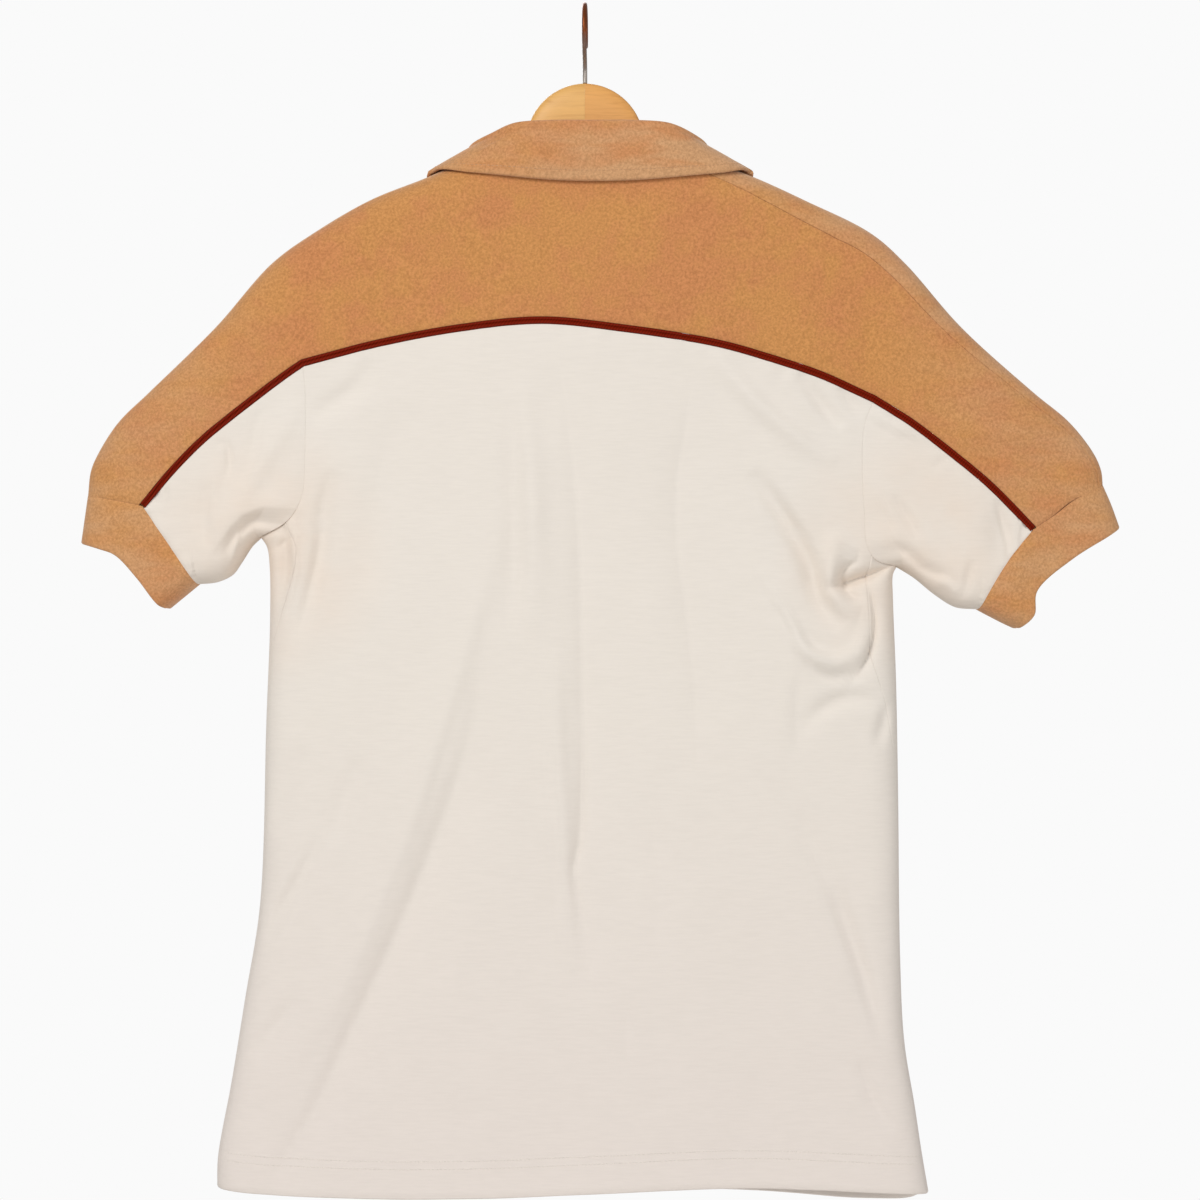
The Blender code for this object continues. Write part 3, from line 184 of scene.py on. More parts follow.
# Soft folds: the layer, how high they stand (a trough is negative), the half
# width towards +X, the half width towards -X, and three or more points down each.
FOLDS = (
    # back, the long fold from the left shoulder blade to the hem
    (BACK, 3.2, 14, 7, ((59, -363), (80, -443), (101, -510), (123, -579), (147, -640), (171, -695),
                        (198, -739), (223, -778))),
    (BACK, -5.8, 8, 22, ((66, -452), (83, -531), (108, -601), (137, -671), (165, -730), (189, -781),
                        (212, -820), (234, -859))),
    (BACK, -0.8, 8, 10, ((91, -615), (106, -671), (140, -732))),
    (BACK, -0.6, 6, 6, ((57, -764), (78, -786), (99, -805))),
    # back, down the middle
    (BACK, 3.0, 9, 9, ((44, -267), (39, -317), (36, -384), (37, -452))),
    (BACK, -2.9, 8, 8, ((55, -281), (50, -331), (50, -395), (55, -452))),
    (BACK, 2.6, 7, 6, ((22, -456), (18, -540), (14, -592), (12, -644), (8, -696))),
    (BACK, -3.5, 14, 16, ((125, -285), (140, -313), (147, -381), (147, -423))),
    (BACK, -1.0, 8, 8, ((-46, -558), (-50, -601), (-55, -668))),
    (BACK, -1.1, 8, 8, ((-26, -703), (-30, -735), (-25, -767))),
    # back, from the yoke to the right armpit, and the cloth bunched there
    (BACK, 4.5, 8, 5, ((-90, -247), (-122, -283), (-161, -315), (-179, -327))),
    (BACK, -3.9, 3, 6, ((-150, -263), (-172, -292), (-183, -303))),
    (BACK, -3.1, 3, 5, ((-179, -273), (-188, -284), (-197, -293))),
    (BACK, 2.1, 2, 5, ((-197, -287), (-213, -298), (-231, -306), (-248, -311))),
    (BACK, -7.6, 8, 6, ((-119, -331), (-148, -374), (-158, -395), (-164, -415), (-172, -430),
                        (-184, -443))),
    (BACK, 6.4, 7, 8, ((-179, -374), (-174, -398), (-175, -416), (-184, -429), (-195, -433))),
    (BACK, 6.4, 6, 4.5, ((-114, -394), (-143, -435), (-158, -459), (-175, -467), (-192, -460),
                        (-198, -443))),
    (BACK, -4.2, 5, 6, ((-114, -395), (-136, -428), (-153, -452), (-169, -460))),
    (BACK, -2.5, 3, 3, ((-161, -474), (-177, -479), (-194, -474))),
    (BACK, -4.1, 6, 6, ((-153, -515), (-168, -501), (-188, -493), (-212, -496))),
    (BACK, -3.4, 5, 5, ((-215, -494), (-212, -512), (-206, -528))),
    (BACK, -1.7, 5, 8, ((-154, -469), (-150, -498), (-152, -533))),
    # back, right side below
    (BACK, -2.5, 6, 9, ((-118, -540), (-155, -588), (-185, -654), (-210, -735))),
    (BACK, -2.8, 5, 6, ((-177, -625), (-188, -661), (-198, -689), (-212, -742))),
    (BACK, -2.0, 5, 5, ((-194, -748), (-201, -769), (-212, -791), (-225, -802))),
    # back, left side
    (BACK, -4.8, 5, 8, ((179, -331), (185, -352), (188, -388), (196, -423), (205, -452))),
    (BACK, 1.8, 2.5, 2.5, ((201, -352), (206, -386), (205, -403), (217, -445))),
    (BACK, -4.5, 6, 4, ((214, -361), (213, -384), (213, -406), (218, -427))),
    (BACK, -3.2, 7, 8, ((150, -253), (162, -272), (179, -284), (195, -295))),
    (BACK, -2.6, 9, 9, ((202, -526), (213, -558), (222, -593))),
    (BACK, -2.1, 8, 8, ((158, -530), (170, -562), (181, -599))),
    (BACK, -2.9, 5, 6, ((188, -592), (205, -625), (219, -649), (229, -671))),
    (BACK, -2.2, 7, 8, ((203, -703), (222, -728), (236, -751))),
    # left sleeve
    (BACK, 2.4, 9, 8, ((201, -281), (213, -303), (227, -323), (239, -344), (252, -359),
                       (263, -377))),
    (BACK, -1.5, 5, 5, ((220, -283), (232, -296), (235, -318), (245, -342))),
    (BACK, -2.0, 2.5, 3, ((263, -311), (254, -314), (252, -324), (254, -338))),
    (BACK, 1.4, 5, 5, ((262, -320), (264, -352), (267, -384))),
    (BACK, -1.9, 7, 7, ((268, -338), (270, -363), (267, -395))),
    (BACK, 2.5, 3, 9, ((269, -394), (257, -378), (245, -364), (229, -357), (202, -352))),
    (BACK, -4.1, 4, 3, ((257, -392), (245, -374), (232, -366), (216, -364), (203, -361))),
    (BACK, 2.0, 2.5, 2.5, ((245, -365), (248, -384), (252, -403))),
    (BACK, -1.5, 2, 2, ((297, -342), (299, -351), (303, -357))),
    (BACK, -1.5, 2, 2, ((303, -345), (305, -352), (310, -357))),
    # right sleeve
    (BACK, -3.0, 2.5, 4, ((-292, -351), (-297, -368), (-301, -384), (-301, -396))),
    (BACK, -1.7, 2, 3, ((-313, -365), (-311, -375), (-309, -386))),
    (BACK, -2.0, 4, 4, ((-218, -349), (-229, -365), (-238, -381))),
    (BACK, -1.7, 4, 4, ((-204, -352), (-212, -365), (-220, -376))),
    (BACK, -3.6, 4, 5, ((-201, -386), (-227, -389), (-241, -401), (-259, -408), (-264, -416))),
    (BACK, 1.8, 4, 4, ((-245, -418), (-255, -411), (-265, -423))),
    (BACK, -2.4, 4, 4, ((-274, -395), (-272, -409), (-269, -423))),
    (BACK, -1.2, 2, 2, ((-246, -331), (-252, -325), (-260, -323))),
    (BACK, -2.4, 9, 9, ((-294, -352), (-294, -381), (-296, -398))),
    # terry
    (BACK, -1.8, 9, 7, ((235, -226), (241, -247), (239, -272))),
    (BACK, 2.0, 9, 9, ((-257, -301), (-292, -304), (-334, -308))),
    # front, which the picture doesn't show
    (FRONT, -4.0, 15, 15, ((-90, -420), (-104, -540), (-132, -640), (-170, -740))),
    (FRONT, 3.5, 14, 14, ((-122, -450), (-140, -560), (-172, -660), (-196, -740))),
    (FRONT, -4.0, 14, 14, ((66, -400), (70, -520), (62, -640), (74, -760))),
    (FRONT, 3.5, 13, 13, ((150, -440), (172, -468), (196, -470), (210, -450))),
    (FRONT, -3.5, 12, 12, ((-238, -305), (-246, -350), (-250, -385))),
    (FRONT, -3.0, 12, 12, ((246, -310), (252, -350), (252, -380))),
    (FRONT, -2.2, 5, 8, ((172, -360), (182, -392), (190, -430), (202, -468))),
    (FRONT, 1.5, 12, 5, ((-46, -352), (-60, -452), (-88, -560), (-120, -650))),
    (FRONT, -2.0, 4, 5, ((-178, -380), (-186, -410), (-198, -436))),
    (FRONT, -1.4, 5, 5, ((-20, -330), (-26, -400), (-24, -470))),
    (FRONT, -1.2, 6, 7, ((120, -600), (140, -680), (168, -760))),
)

# Creases, in the same columns: sharp along the path and soft to either side.
CREASES = (
    # back, down the middle
    (BACK, -7.0, 15, 40, ((20, -246), (12, -303), (6, -356), (3, -435), (2, -519), (3, -592),
                          (8, -616), (6, -636), (-3, -679), (-6, -714))),
    (BACK, -2.6, 2.4, 1.4, ((1, -515), (2, -565), (3, -592), (8, -616), (6, -627), (0, -657))),
    (BACK, -5.1, 16, 38, ((-77, -247), (-72, -293), (-65, -338), (-65, -382), (-72, -435),
                          (-77, -487), (-79, -558))),
    # back, the bunched cloth at the right armpit
    (BACK, -12.8, 3.2, 6, ((-168, -416), (-184, -412), (-196, -408), (-209, -403), (-223, -395))),
    (BACK, -5.4, 2.5, 2.5, ((-198, -395), (-187, -399), (-182, -408), (-187, -418), (-199, -423))),
    (BACK, -6.4, 1.6, 3.4, ((-199, -408), (-204, -425), (-205, -445), (-201, -462), (-194, -474),
                        (-183, -486))),
    # back, at the left armpit
    (BACK, -2.7, 3, 2, ((228, -381), (223, -372), (212, -369))),
    (BACK, -2.4, 2, 2.4, ((225, -389), (212, -381), (203, -362))),
    # front, which the picture doesn't show
    (FRONT, -2.6, 26, 12, ((24, -350), (18, -430), (22, -520), (30, -610), (26, -680))),
    (FRONT, -2.4, 3, 3, ((-196, -402), (-208, -404), (-222, -399))),
)

# How fast a fold fades at its ends, and its path's steps between points.  For each table, the
# power of its bell and how many widths out it is followed.
FOLD_FADE = 0.8
PATH_SPAN = 6
FOLD_TABLES = ((FOLDS, 2, 3), (CREASES, 1, 5))

COLOUR_HEX = {
    "terry": "#C58A50",
    # terry_pale also carries painted sheen along the sleeves and overarm strips, and painted light
    # on the collar's right.
    "terry_pale": "#C8986C",
    "terry_warm": "#C48352",
    "jersey": "#E7DFD5",
    # jersey_warm is painted warm shade near the armpits.
    "jersey_warm": "#E8D6C5",
    # jersey_low is painted shade towards the hem.
    "jersey_low": "#E4DAD2",
    "piping": "#741904",
    "wood_left": "#DEAA5E",
    "wood_right": "#DFA258",
    "button": "#7E4B30",
    "wire": "#A39B93",
    "wire_browned": "#7A3D16",
    "floor": "#F2F0ED",
    "backdrop": "#FAFAFA",
}


def linear(hex_code):
    """An sRGB hex colour as linear RGB, by the sRGB curve."""
    value = np.array([int(hex_code[k:k + 2], 16) for k in (1, 3, 5)]) / 255
    curve = ((value + 0.055) / 1.055) ** 2.4
    return tuple(np.where(value <= 0.04045, value / 12.92, curve).tolist())


def colour_property(name, description):
    """A colour that a user would change."""
    return bpy.props.FloatVectorProperty(
        name=name, description=description, subtype="COLOR", size=3, min=0, max=1,
        default=linear(COLOUR_HEX[name.lower().replace(" ", "_")]))


def length_property(name, description, metres):
    """A length that a user would change."""
    return bpy.props.FloatProperty(name=name, description=description, default=metres, min=0.0005,
                                   unit="LENGTH")


class ShirtColours(bpy.types.PropertyGroup):
    """Colours of the cloth, trims, hanger and floor."""

    terry: colour_property("Terry", "Ground colour of the looped yoke, collar and cuffs")
    # Terry pale also paints sheen along the sleeves and overarm strips, and light on the collar's
    # right.
    terry_pale: colour_property("Terry pale", "Paler terry of the collar, cuffs and sleeve ends")
    terry_warm: colour_property("Terry warm", "Rosier tint in broad patches of the terry")
    jersey: colour_property("Jersey", "Ground colour of the body and under sleeves")
    # Jersey warm is painted warm shade near the armpits.
    jersey_warm: colour_property("Jersey warm", "Warmer tint of the jersey near the armpits")
    # Jersey low is painted shade towards the hem.
    jersey_low: colour_property("Jersey low", "Duller tint of the jersey towards the hem")
    piping: colour_property("Piping", "Satin cord along the yoke seam")
    wood_left: colour_property("Wood left", "Left half of the hanger")
    wood_right: colour_property("Wood right", "Right half of the hanger")
    button: colour_property("Button", "Moulded buttons")
    wire: colour_property("Wire", "Stem of the hook")
    wire_browned: colour_property("Wire browned", "Round bend of the hook, browned by age")
    floor: colour_property("Floor", "Studio floor")


class ShirtSizes(bpy.types.PropertyGroup):
    """Sizes of the cloth and its sewing."""

    jersey: length_property("Jersey", "Thickness of the jersey wall", 0.0016)
    terry: length_property("Terry", "Thickness of the terry wall", 0.0024)
    stitch: length_property("Stitch", "Length of one stitch with its gap", 0.003)


# ---------------------------------------------------------------- curves and tables

def table(rows, at):
    """Read a two-column table at one or more places, with straight lines between rows."""
    rows = np.asarray(sorted(rows), float)
    return np.interp(at, rows[:, 0], rows[:, 1])


def smooth_line(points, per_span=12):
    """Catmull-Rom curve through the points, as a fine polyline."""
    p = np.asarray(points, float)
    if len(p) == 2:
        return p[0] + (p[1] - p[0]) * even(per_span)[:, None]
    p = np.vstack([2 * p[0] - p[1], p, 2 * p[-1] - p[-2]])
    knots = np.concatenate([[0], np.cumsum(np.sqrt(np.linalg.norm(np.diff(p, axis=0), axis=1)))])
    pieces = []
    for i in range(1, len(p) - 2):
        k0, k1, k2, k3 = knots[i - 1:i + 3]
        t = np.linspace(k1, k2, per_span + 1)[:-1, None]
        a1 = ((k1 - t) * p[i - 1] + (t - k0) * p[i]) / (k1 - k0)
        a2 = ((k2 - t) * p[i] + (t - k1) * p[i + 1]) / (k2 - k1)
        a3 = ((k3 - t) * p[i + 1] + (t - k2) * p[i + 2]) / (k3 - k2)
        b1 = ((k2 - t) * a1 + (t - k0) * a2) / (k2 - k0)
        b2 = ((k3 - t) * a2 + (t - k1) * a3) / (k3 - k1)
        pieces.append(((k2 - t) * b1 + (t - k1) * b2) / (k2 - k1))
    pieces.append(p[-2:-1])
    return np.vstack(pieces)


def distances(line):
    """How far down the polyline each of its points is."""
    return np.concatenate([[0], np.cumsum(np.linalg.norm(np.diff(line, axis=0), axis=1))])


def read_off(values, places, at):
    """Rows of values that stand at places, read at other places by straight lines."""
    return np.stack([np.interp(at, places, column) for column in values.T], axis=-1)


def along(line, fractions):
    """Points at fractions of the polyline's length."""
    line = np.asarray(line, float)
    reach = distances(line)
    return read_off(line, reach, np.asarray(fractions, float) * reach[-1])


def unit(vectors):
    """The vectors, each divided by its length."""
    return vectors / np.linalg.norm(vectors, axis=-1)[..., None]


def even(steps):
    """Fractions from 0 to 1 in equal steps."""
    return np.linspace(0, 1, steps + 1)


def crowded(steps, power=FOLD_CROWDING):
    """Fractions from 0 to 1 whose last steps are short, for stations that end in a fold."""
    return 1 - (np.arange(steps, -1, -1) / steps) ** power


def mirrored(points, half):
    """A half's table points in the shared frame: +X for the left half, -X for the right."""
    p = np.array(points, float)
    p[..., 0] *= 1 if half == "left" else -1
    return p


def shifted(line, distance):
    """The line moved sideways in its plane, to the left of its own direction."""
    step = unit(np.gradient(np.asarray(line, float), axis=0))
    return line + distance * np.stack([-step[:, 1], step[:, 0]], axis=1)


# ------------------------------------------------------------------ the folded form

def outline_segments():
    """The closed outline's segments: start, end, inward direction and fold radius."""
    rows = []
    radii = {"cuff_fold": CUFF_FOLD_RADIUS, "cuff_under": CUFF_FOLD_RADIUS}
    for half in HALVES:
        for name, points in OUTLINE[half].items():
            line = mirrored(smooth_line(points), half)
            turn = 1 if (half == "left") == (name in ("underarm", "cuff_under")) else -1
            if name == "flank":
                turn = -1 if half == "left" else 1
            a, b = line[:-1], line[1:]
            step = unit(b - a)
            inward = turn * np.stack([-step[:, 1], step[:, 0]], axis=1)
            rows.append((a, b, inward, np.full(len(a), radii.get(name, FOLD_RADIUS))))
    return [np.concatenate(part) for part in zip(*rows)]


# Points are measured against the outline this many at a time, to save memory.
SEGMENTS = outline_segments()
CHUNK = 6000


def edge_distance(xz):
    """Distance in from the outline, the direction inwards, and the fold radius there."""
    parts = [edge_distance_chunk(xz[k:k + CHUNK]) for k in range(0, len(xz), CHUNK)]
    return [np.concatenate(part) for part in zip(*parts)]


def from_segments(xz, a, b):
    """Each point seen from each segment a to b.

    Gives its place on the segment, 0 to 1, and how far away from there it is, in x and z.
    """
    step = b - a
    rel_x = xz[:, None, 0] - a[None, :, 0]
    rel_z = xz[:, None, 1] - a[None, :, 1]
    t = np.clip((rel_x * step[:, 0] + rel_z * step[:, 1]) / (step ** 2).sum(-1), 0, 1)
    return t, rel_x - t * step[:, 0], rel_z - t * step[:, 1]


def edge_distance_chunk(xz):
    """Nearest segment of the outline.  Outside the outline the distance is negative.

    At a corner, where two segments are equally near, a point is outside only if it is
    outside both.
    """
    a, b, inward, radius = SEGMENTS
    _, away_x, away_z = from_segments(xz, a, b)
    gap = np.sqrt(away_x ** 2 + away_z ** 2)
    k = gap.argmin(axis=1)
    pick = np.arange(len(xz))
    d = gap[pick, k]
    tied = gap < d[:, None] + CORNER_TIE
    inside = np.where(tied, away_x * inward[:, 0] + away_z * inward[:, 1], -1).max(axis=1)
    outside = (inside < 0) & (d > CORNER_TIE)
    square = unit(tied.astype(float) @ inward)
    sign = np.where(outside, -1, 1)
    nearest = np.stack([away_x[pick, k], away_z[pick, k]], axis=1)
    radial = sign[:, None] * nearest / np.maximum(d, CORNER_TIE)[:, None]
    return sign * d, np.where(d[:, None] > ON_THE_LINE, radial, square), radius[k]


def near_line(xz, line, reach):
    """Points near a polyline: which ones, how far beside it, and how far down it, 0 to 1.

    Beside it is positive on the left of its direction.
    """
    low, high = line.min(axis=0) - reach, line.max(axis=0) + reach
    near = np.flatnonzero(((xz > low) & (xz < high)).all(axis=1))
    a, b = line[:-1], line[1:]
    step = b - a
    size = np.linalg.norm(step, axis=1)
    start = distances(line)
    t, away_x, away_z = from_segments(xz[near], a, b)
    gap = np.hypot(away_x, away_z)
    k = gap.argmin(axis=1)
    pick = np.arange(len(near))
    turn = step[k, 0] * away_z[pick, k] - step[k, 1] * away_x[pick, k]
    place = (start[k] + t[pick, k] * size[k]) / start[-1]
    return near, np.where(turn < 0, -1, 1) * gap[pick, k], place


def fold_height(xz, layer):
    """Sum of the folds and creases, each of its own width w to either side of its path.

    Formula: height * fade * exp(-(gap / w) ** power), where the power is the table's and
    the fade is a power of a sine down the path.
    """
    total = np.zeros(len(xz))
    for rows, power, reach in FOLD_TABLES:
        for fold_layer, height, left, right, path in rows:
            near, gap, place = near_line(xz, smooth_line(path, PATH_SPAN), reach * max(left, right))
            fade = np.sin(np.pi * place) ** FOLD_FADE
            bell = np.exp(-(np.abs(gap) / np.where(gap > 0, left, right)) ** power)
            total[near] += np.where(layer[near] == fold_layer, height * fade * bell, 0)
    return total


# Unevenness of the cloth: wavelength and height of each group of waves, how many waves are in
# a group, and how much their turn counts up the shirt.
WAVES = ((150, 0.6), (70, 0.35), (33, 0.16))
WAVES_EACH = 7
WAVES_SEED = 7
WAVES_SQUASH = 0.6


def unevenness(xz, layer):
    """Low waves in many directions: a sum of sines whose directions and phases are drawn once."""
    draw = np.random.default_rng(WAVES_SEED)
    total = np.zeros(len(xz))
    for length, height in WAVES:
        for _ in range(WAVES_EACH):
            turn, phase, shift = draw.uniform(0, 2 * math.pi, 3)
            across = xz[:, 0] * math.cos(turn) + WAVES_SQUASH * xz[:, 1] * math.sin(turn)
            total += height / math.sqrt(WAVES_EACH) * np.sin(
                2 * math.pi * across / length + phase + shift * layer)
    return total


# Stitch rows of the hems: how far up from the edge each is.  The upper one puckers the cloth.
HEM_ROWS = (27.0, 21.5)

# Puckers: how high, how fast they die away from the seam, their wavelength, and how deep
# the seam's own groove is.
PUCKERS = {"piping": (0.55, 11.0, 23.0, 0.0), "cuff": (0.7, 9.0, 15.0, 0.8),
           "hem": (0.25, 16.0, 31.0, 0.0), "shoulder": (0.4, 5.0, 13.0, 0.6)}
GROOVE_WIDTH = 1.8
# How many times its own reach a pucker is followed, and every how many points of a long seam.
PUCKER_REACH, PUCKER_SKIP = 3, 3
# Puckers drift and swell along the seam, and lean a little beside it.
PUCKER_DRIFT, PUCKER_DRIFT_RATE = 1.7, 0.31
PUCKER_SWELL, PUCKER_SWELL_RATE = 0.4, 0.23
PUCKER_LEAN = 0.06


def pucker(xz, layer, on_layer, line, kind):
    """Small waves along a seam, a sine along it that dies away beside it, and its groove."""
    height, reach, length, groove = PUCKERS[kind]
    near, gap, place = near_line(xz, line, PUCKER_REACH * reach)
    at = place * distances(line)[-1] / length * 2 * math.pi
    drift = PUCKER_DRIFT * np.sin(at * PUCKER_DRIFT_RATE + 1)
    swell = 1 - PUCKER_SWELL + PUCKER_SWELL * np.sin(at * PUCKER_SWELL_RATE + 2)
    wave = np.sin(at + drift + PUCKER_LEAN * gap) * swell
    total = np.zeros(len(xz))
    across = np.abs(gap)
    shape = height * wave * np.exp(-across / reach) - groove * np.exp(-across / GROOVE_WIDTH)
    total[near] = np.where(layer[near] == on_layer, shape, 0)
    return total


def seam_lines():
    """The seams that pucker: layer, line in the shared frame, kind."""
    rows = [(BACK, back_piping_line()[::PUCKER_SKIP], "piping")]
    for half in HALVES:
        rows.append((FRONT, mirrored(front_piping_line(half), half)[::PUCKER_SKIP], "piping"))
        for layer in (BACK, FRONT):
            seam = np.vstack([cuff_seam(half, layer, "top"), cuff_seam(half, layer, "bottom")[1:]])
            rows.append((layer, mirrored(seam, half), "cuff"))
        rows.append((BACK, mirrored(shoulder_seam(half, 0), half)[::PUCKER_SKIP], "shoulder"))
    for layer, hem in ((BACK, BACK_HEM), (FRONT, FRONT_HEM)):
        rows.append((layer, smooth_line(hem) + [0, HEM_ROWS[0]], "hem"))
    return rows


# Filled when the first cloth is made, because the seams are worked out further down.
PUCKER_LINES = []


def middle(x):
    """The mid surface bows forward over the hanger, then runs on straight."""
    out = np.abs(x)
    return -BOW * np.where(out < BOW_REACH, (out / BOW_REACH) ** 2, 2 * out / BOW_REACH - 1)


def cloth(xz, layer, lift=0.0, sleeve=False):
    """Outer points of the cloth at (x, z) in a layer, and the direction out of it.

    Formula: y = middle(x) + layer * (half depth + relief) * q, where q ** n + (1 - r) ** n
    = 1, n is the squareness, r is the distance from the outline over the fold radius, and
    the relief is the sum of folds, puckers and unevenness.  A lift moves the whole form
    outwards.
    """
    xz = np.asarray(xz, float)
    shape = xz.shape[:-1]
    flat = xz.reshape(-1, 2)
    layer = np.broadcast_to(layer, shape).reshape(-1)
    d, inward, radius = edge_distance(flat)
    depth = table(HALF_DEPTH, flat[:, 1])
    if sleeve:
        depth = depth + table(SLEEVE_PUFF, np.abs(flat[:, 0]) - SHOULDER_POINT)
    depth = depth + lift
    r = np.clip((d + lift) / (radius + lift), 0, 1)
    q = (1 - (1 - r) ** FOLD_SQUARENESS) ** (1 / FOLD_SQUARENESS)
    if not PUCKER_LINES:
        PUCKER_LINES.extend(seam_lines())
    relief = fold_height(flat, layer) + unevenness(flat, layer)
    for on_layer, line, kind in PUCKER_LINES:
        relief += pucker(flat, layer, on_layer, line, kind)
    y = middle(flat[:, 0]) + layer * q * (depth + relief)
    slope = depth * (1 - r) ** (FOLD_SQUARENESS - 1) / radius
    facing = layer * q ** (FOLD_SQUARENESS - 1)
    normal = unit(np.stack([-inward[:, 0] * slope, facing, -inward[:, 1] * slope], axis=1))
    points = np.stack([flat[:, 0], y, flat[:, 1]], axis=1)
    return points.reshape(shape + (3,)), normal.reshape(shape + (3,))


# ---------------------------------------------------------------- meshes from grids

def add_object(name, data):
    """A named object with this data, in the scene."""
    made = bpy.data.objects.new(name, data)
    bpy.context.collection.objects.link(made)
    return made


def add_piece(name, points, faces, finish, node=None, slot=None):
    """A named mesh of the piece, in metres, that rides on the body."""
    mesh = bpy.data.meshes.new(name)
    faces = faces.tolist() if isinstance(faces, np.ndarray) else faces
    mesh.from_pydata((np.asarray(points).reshape(-1, 3) * MM).tolist(), [], faces)
    mesh.materials.append(finish)
    mesh.shade_smooth()
    piece = add_object(name, mesh)
    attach(piece, BODY)
    if node:
        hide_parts(node)
    return piece


def grid_quads(rows, columns, present=None, ring=False):
    """Quads of a grid of points; a mask leaves cells out, a ring joins the last column."""
    i = np.arange(rows - 1)[:, None]
    j = np.arange(columns if ring else columns - 1)[None]
    k = (j + 1) % columns
    quads = np.stack(np.broadcast_arrays(i * columns + j, i * columns + k, (i + 1) * columns + k,
                                         (i + 1) * columns + j), axis=-1).reshape(-1, 4)
    return quads if present is None else quads[present.reshape(-1)[quads].all(axis=1)]


def ring_angles(steps):
    """Angles of so many stations round a circle."""
    return np.linspace(0, 2 * math.pi, steps + 1)[:-1]


def faces_outwards(points, faces):
    """The faces of a closed surface, turned round if they point inwards."""
    flat = points.reshape(-1, 3) - points.reshape(-1, 3).mean(axis=0)
    quads = flat[[face for face in faces if len(face) == 4]]
    a, b, c, d = quads.transpose(1, 0, 2)
    volume = (a * (np.cross(b, c) + np.cross(c, d))).sum()
    return faces if volume > 0 else [face[::-1] for face in faces]


def closed_tube(rings):
    """A tube through rows of points, closed at both ends: its points and faces."""
    rows, sides = rings.shape[:2]
    faces = grid_quads(rows, sides, ring=True).tolist()
    faces += [list(range(sides))[::-1], [(rows - 1) * sides + k for k in range(sides)]]
    return rings.reshape(-1, 3), faces_outwards(rings, faces)


def rim_edges(quads, count):
    """The directed edges that only one quad has."""
    edges = np.concatenate([quads[:, [k, (k + 1) % 4]] for k in range(4)])
    key = edges[:, 0] * count + edges[:, 1]
    other = edges[:, 1] * count + edges[:, 0]
    return edges[~np.isin(key, other)]


# What the outer and inner face give up at a rim, as a share of the thickness, and how far in
# from it they do: a cut edge rounds over, a seam only dips.
EDGE_ROLL, SEAM_ROLL = 0.38, 0.04
EDGE_ROW, SEAM_ROW = 0.9, 0.15
SIDES = ("first row", "last row", "first column", "last column")


def walled(outer, normals, thickness, quads, roll=EDGE_ROLL):
    """A closed wall of cloth under a sheet of points: its points and quads.

    The inner sheet lies one thickness in, along the normals.  At the rim both sheets
    give up the roll, a share of the thickness that may differ from point to point.
    """
    used = np.unique(quads)
    index = np.zeros(quads.max() + 1, int)
    index[used] = np.arange(len(used))
    quads = index[quads]
    roll = np.broadcast_to(roll, outer.shape[:-1]).reshape(-1)[used]
    outer = outer.reshape(-1, 3)[used].copy()
    normals = normals.reshape(-1, 3)[used]
    a, b, c = (outer[quads[:, k]] for k in (0, 1, 2))
    if (np.cross(b - a, c - b) * normals[quads[:, 0]]).sum() < 0:
        quads = quads[:, ::-1]
    inner = outer - thickness * normals
    count = len(used)
    rim = rim_edges(quads, count)
    edge = np.unique(rim)
    give = (roll[edge] * thickness)[:, None] * normals[edge]
    outer[edge] -= give
    inner[edge] += give
    sides = np.stack([rim[:, 1], rim[:, 0], rim[:, 0] + count, rim[:, 1] + count], axis=1)
    return np.vstack([outer, inner]), np.vstack([quads, quads[:, ::-1] + count, sides])


def edged(grid, layer, present, sides, cut):
    """The grid with one more row or column close to each side that ends in a rim."""
    for side in sides:
        rows = side.endswith("row")
        sheets = [grid, layer, np.ones(layer.shape, bool) if present is None else present]
        sheets = [sheet if rows else sheet.swapaxes(0, 1) for sheet in sheets]
        if side.startswith("last"):
            sheets = [sheet[::-1] for sheet in sheets]
        g, l, p = sheets
        step = g[1] - g[0]
        size = np.maximum(np.linalg.norm(step, axis=-1), TINY)
        share = np.minimum((EDGE_ROW if side in cut else SEAM_ROW) / size, 0.5)
        extra = g[0] + step * share[:, None]
        sheets = [np.concatenate([g[:1], extra[None], g[1:]]), np.concatenate([l[:1], l]),
                  np.concatenate([p[:1], p[:1] & p[1:2], p[1:]])]
        if side.startswith("last"):
            sheets = [sheet[::-1] for sheet in sheets]
        grid, layer, present = [sheet if rows else sheet.swapaxes(0, 1) for sheet in sheets]
    return grid, layer, present


def cloth_panel(name, node, xz, layer, finish, slot, thickness, sleeve=False, present=None,
                ring=False, sides=SIDES, cut=()):
    """A panel of cloth on a grid of outline places, with its wall inwards.

    The sides end in seams, except those named as cut, which end in open edges.
    """
    layer = np.broadcast_to(layer, xz.shape[:2])
    xz, layer, present = edged(xz, layer, present, sides, cut)
    points, normals = cloth(xz, layer, sleeve=sleeve)
    rows, columns = points.shape[:2]
    roll = np.full((rows, columns), SEAM_ROLL)
    for side in cut:
        where = 0 if side.startswith("first") else -1
        roll[(where, slice(None)) if side.endswith("row") else (slice(None), where)] = EDGE_ROLL
    quads = grid_quads(rows, columns, present, ring)
    points, quads = walled(points, normals, thickness, quads, roll)
    return add_piece(name, points, quads, finish, node, slot)


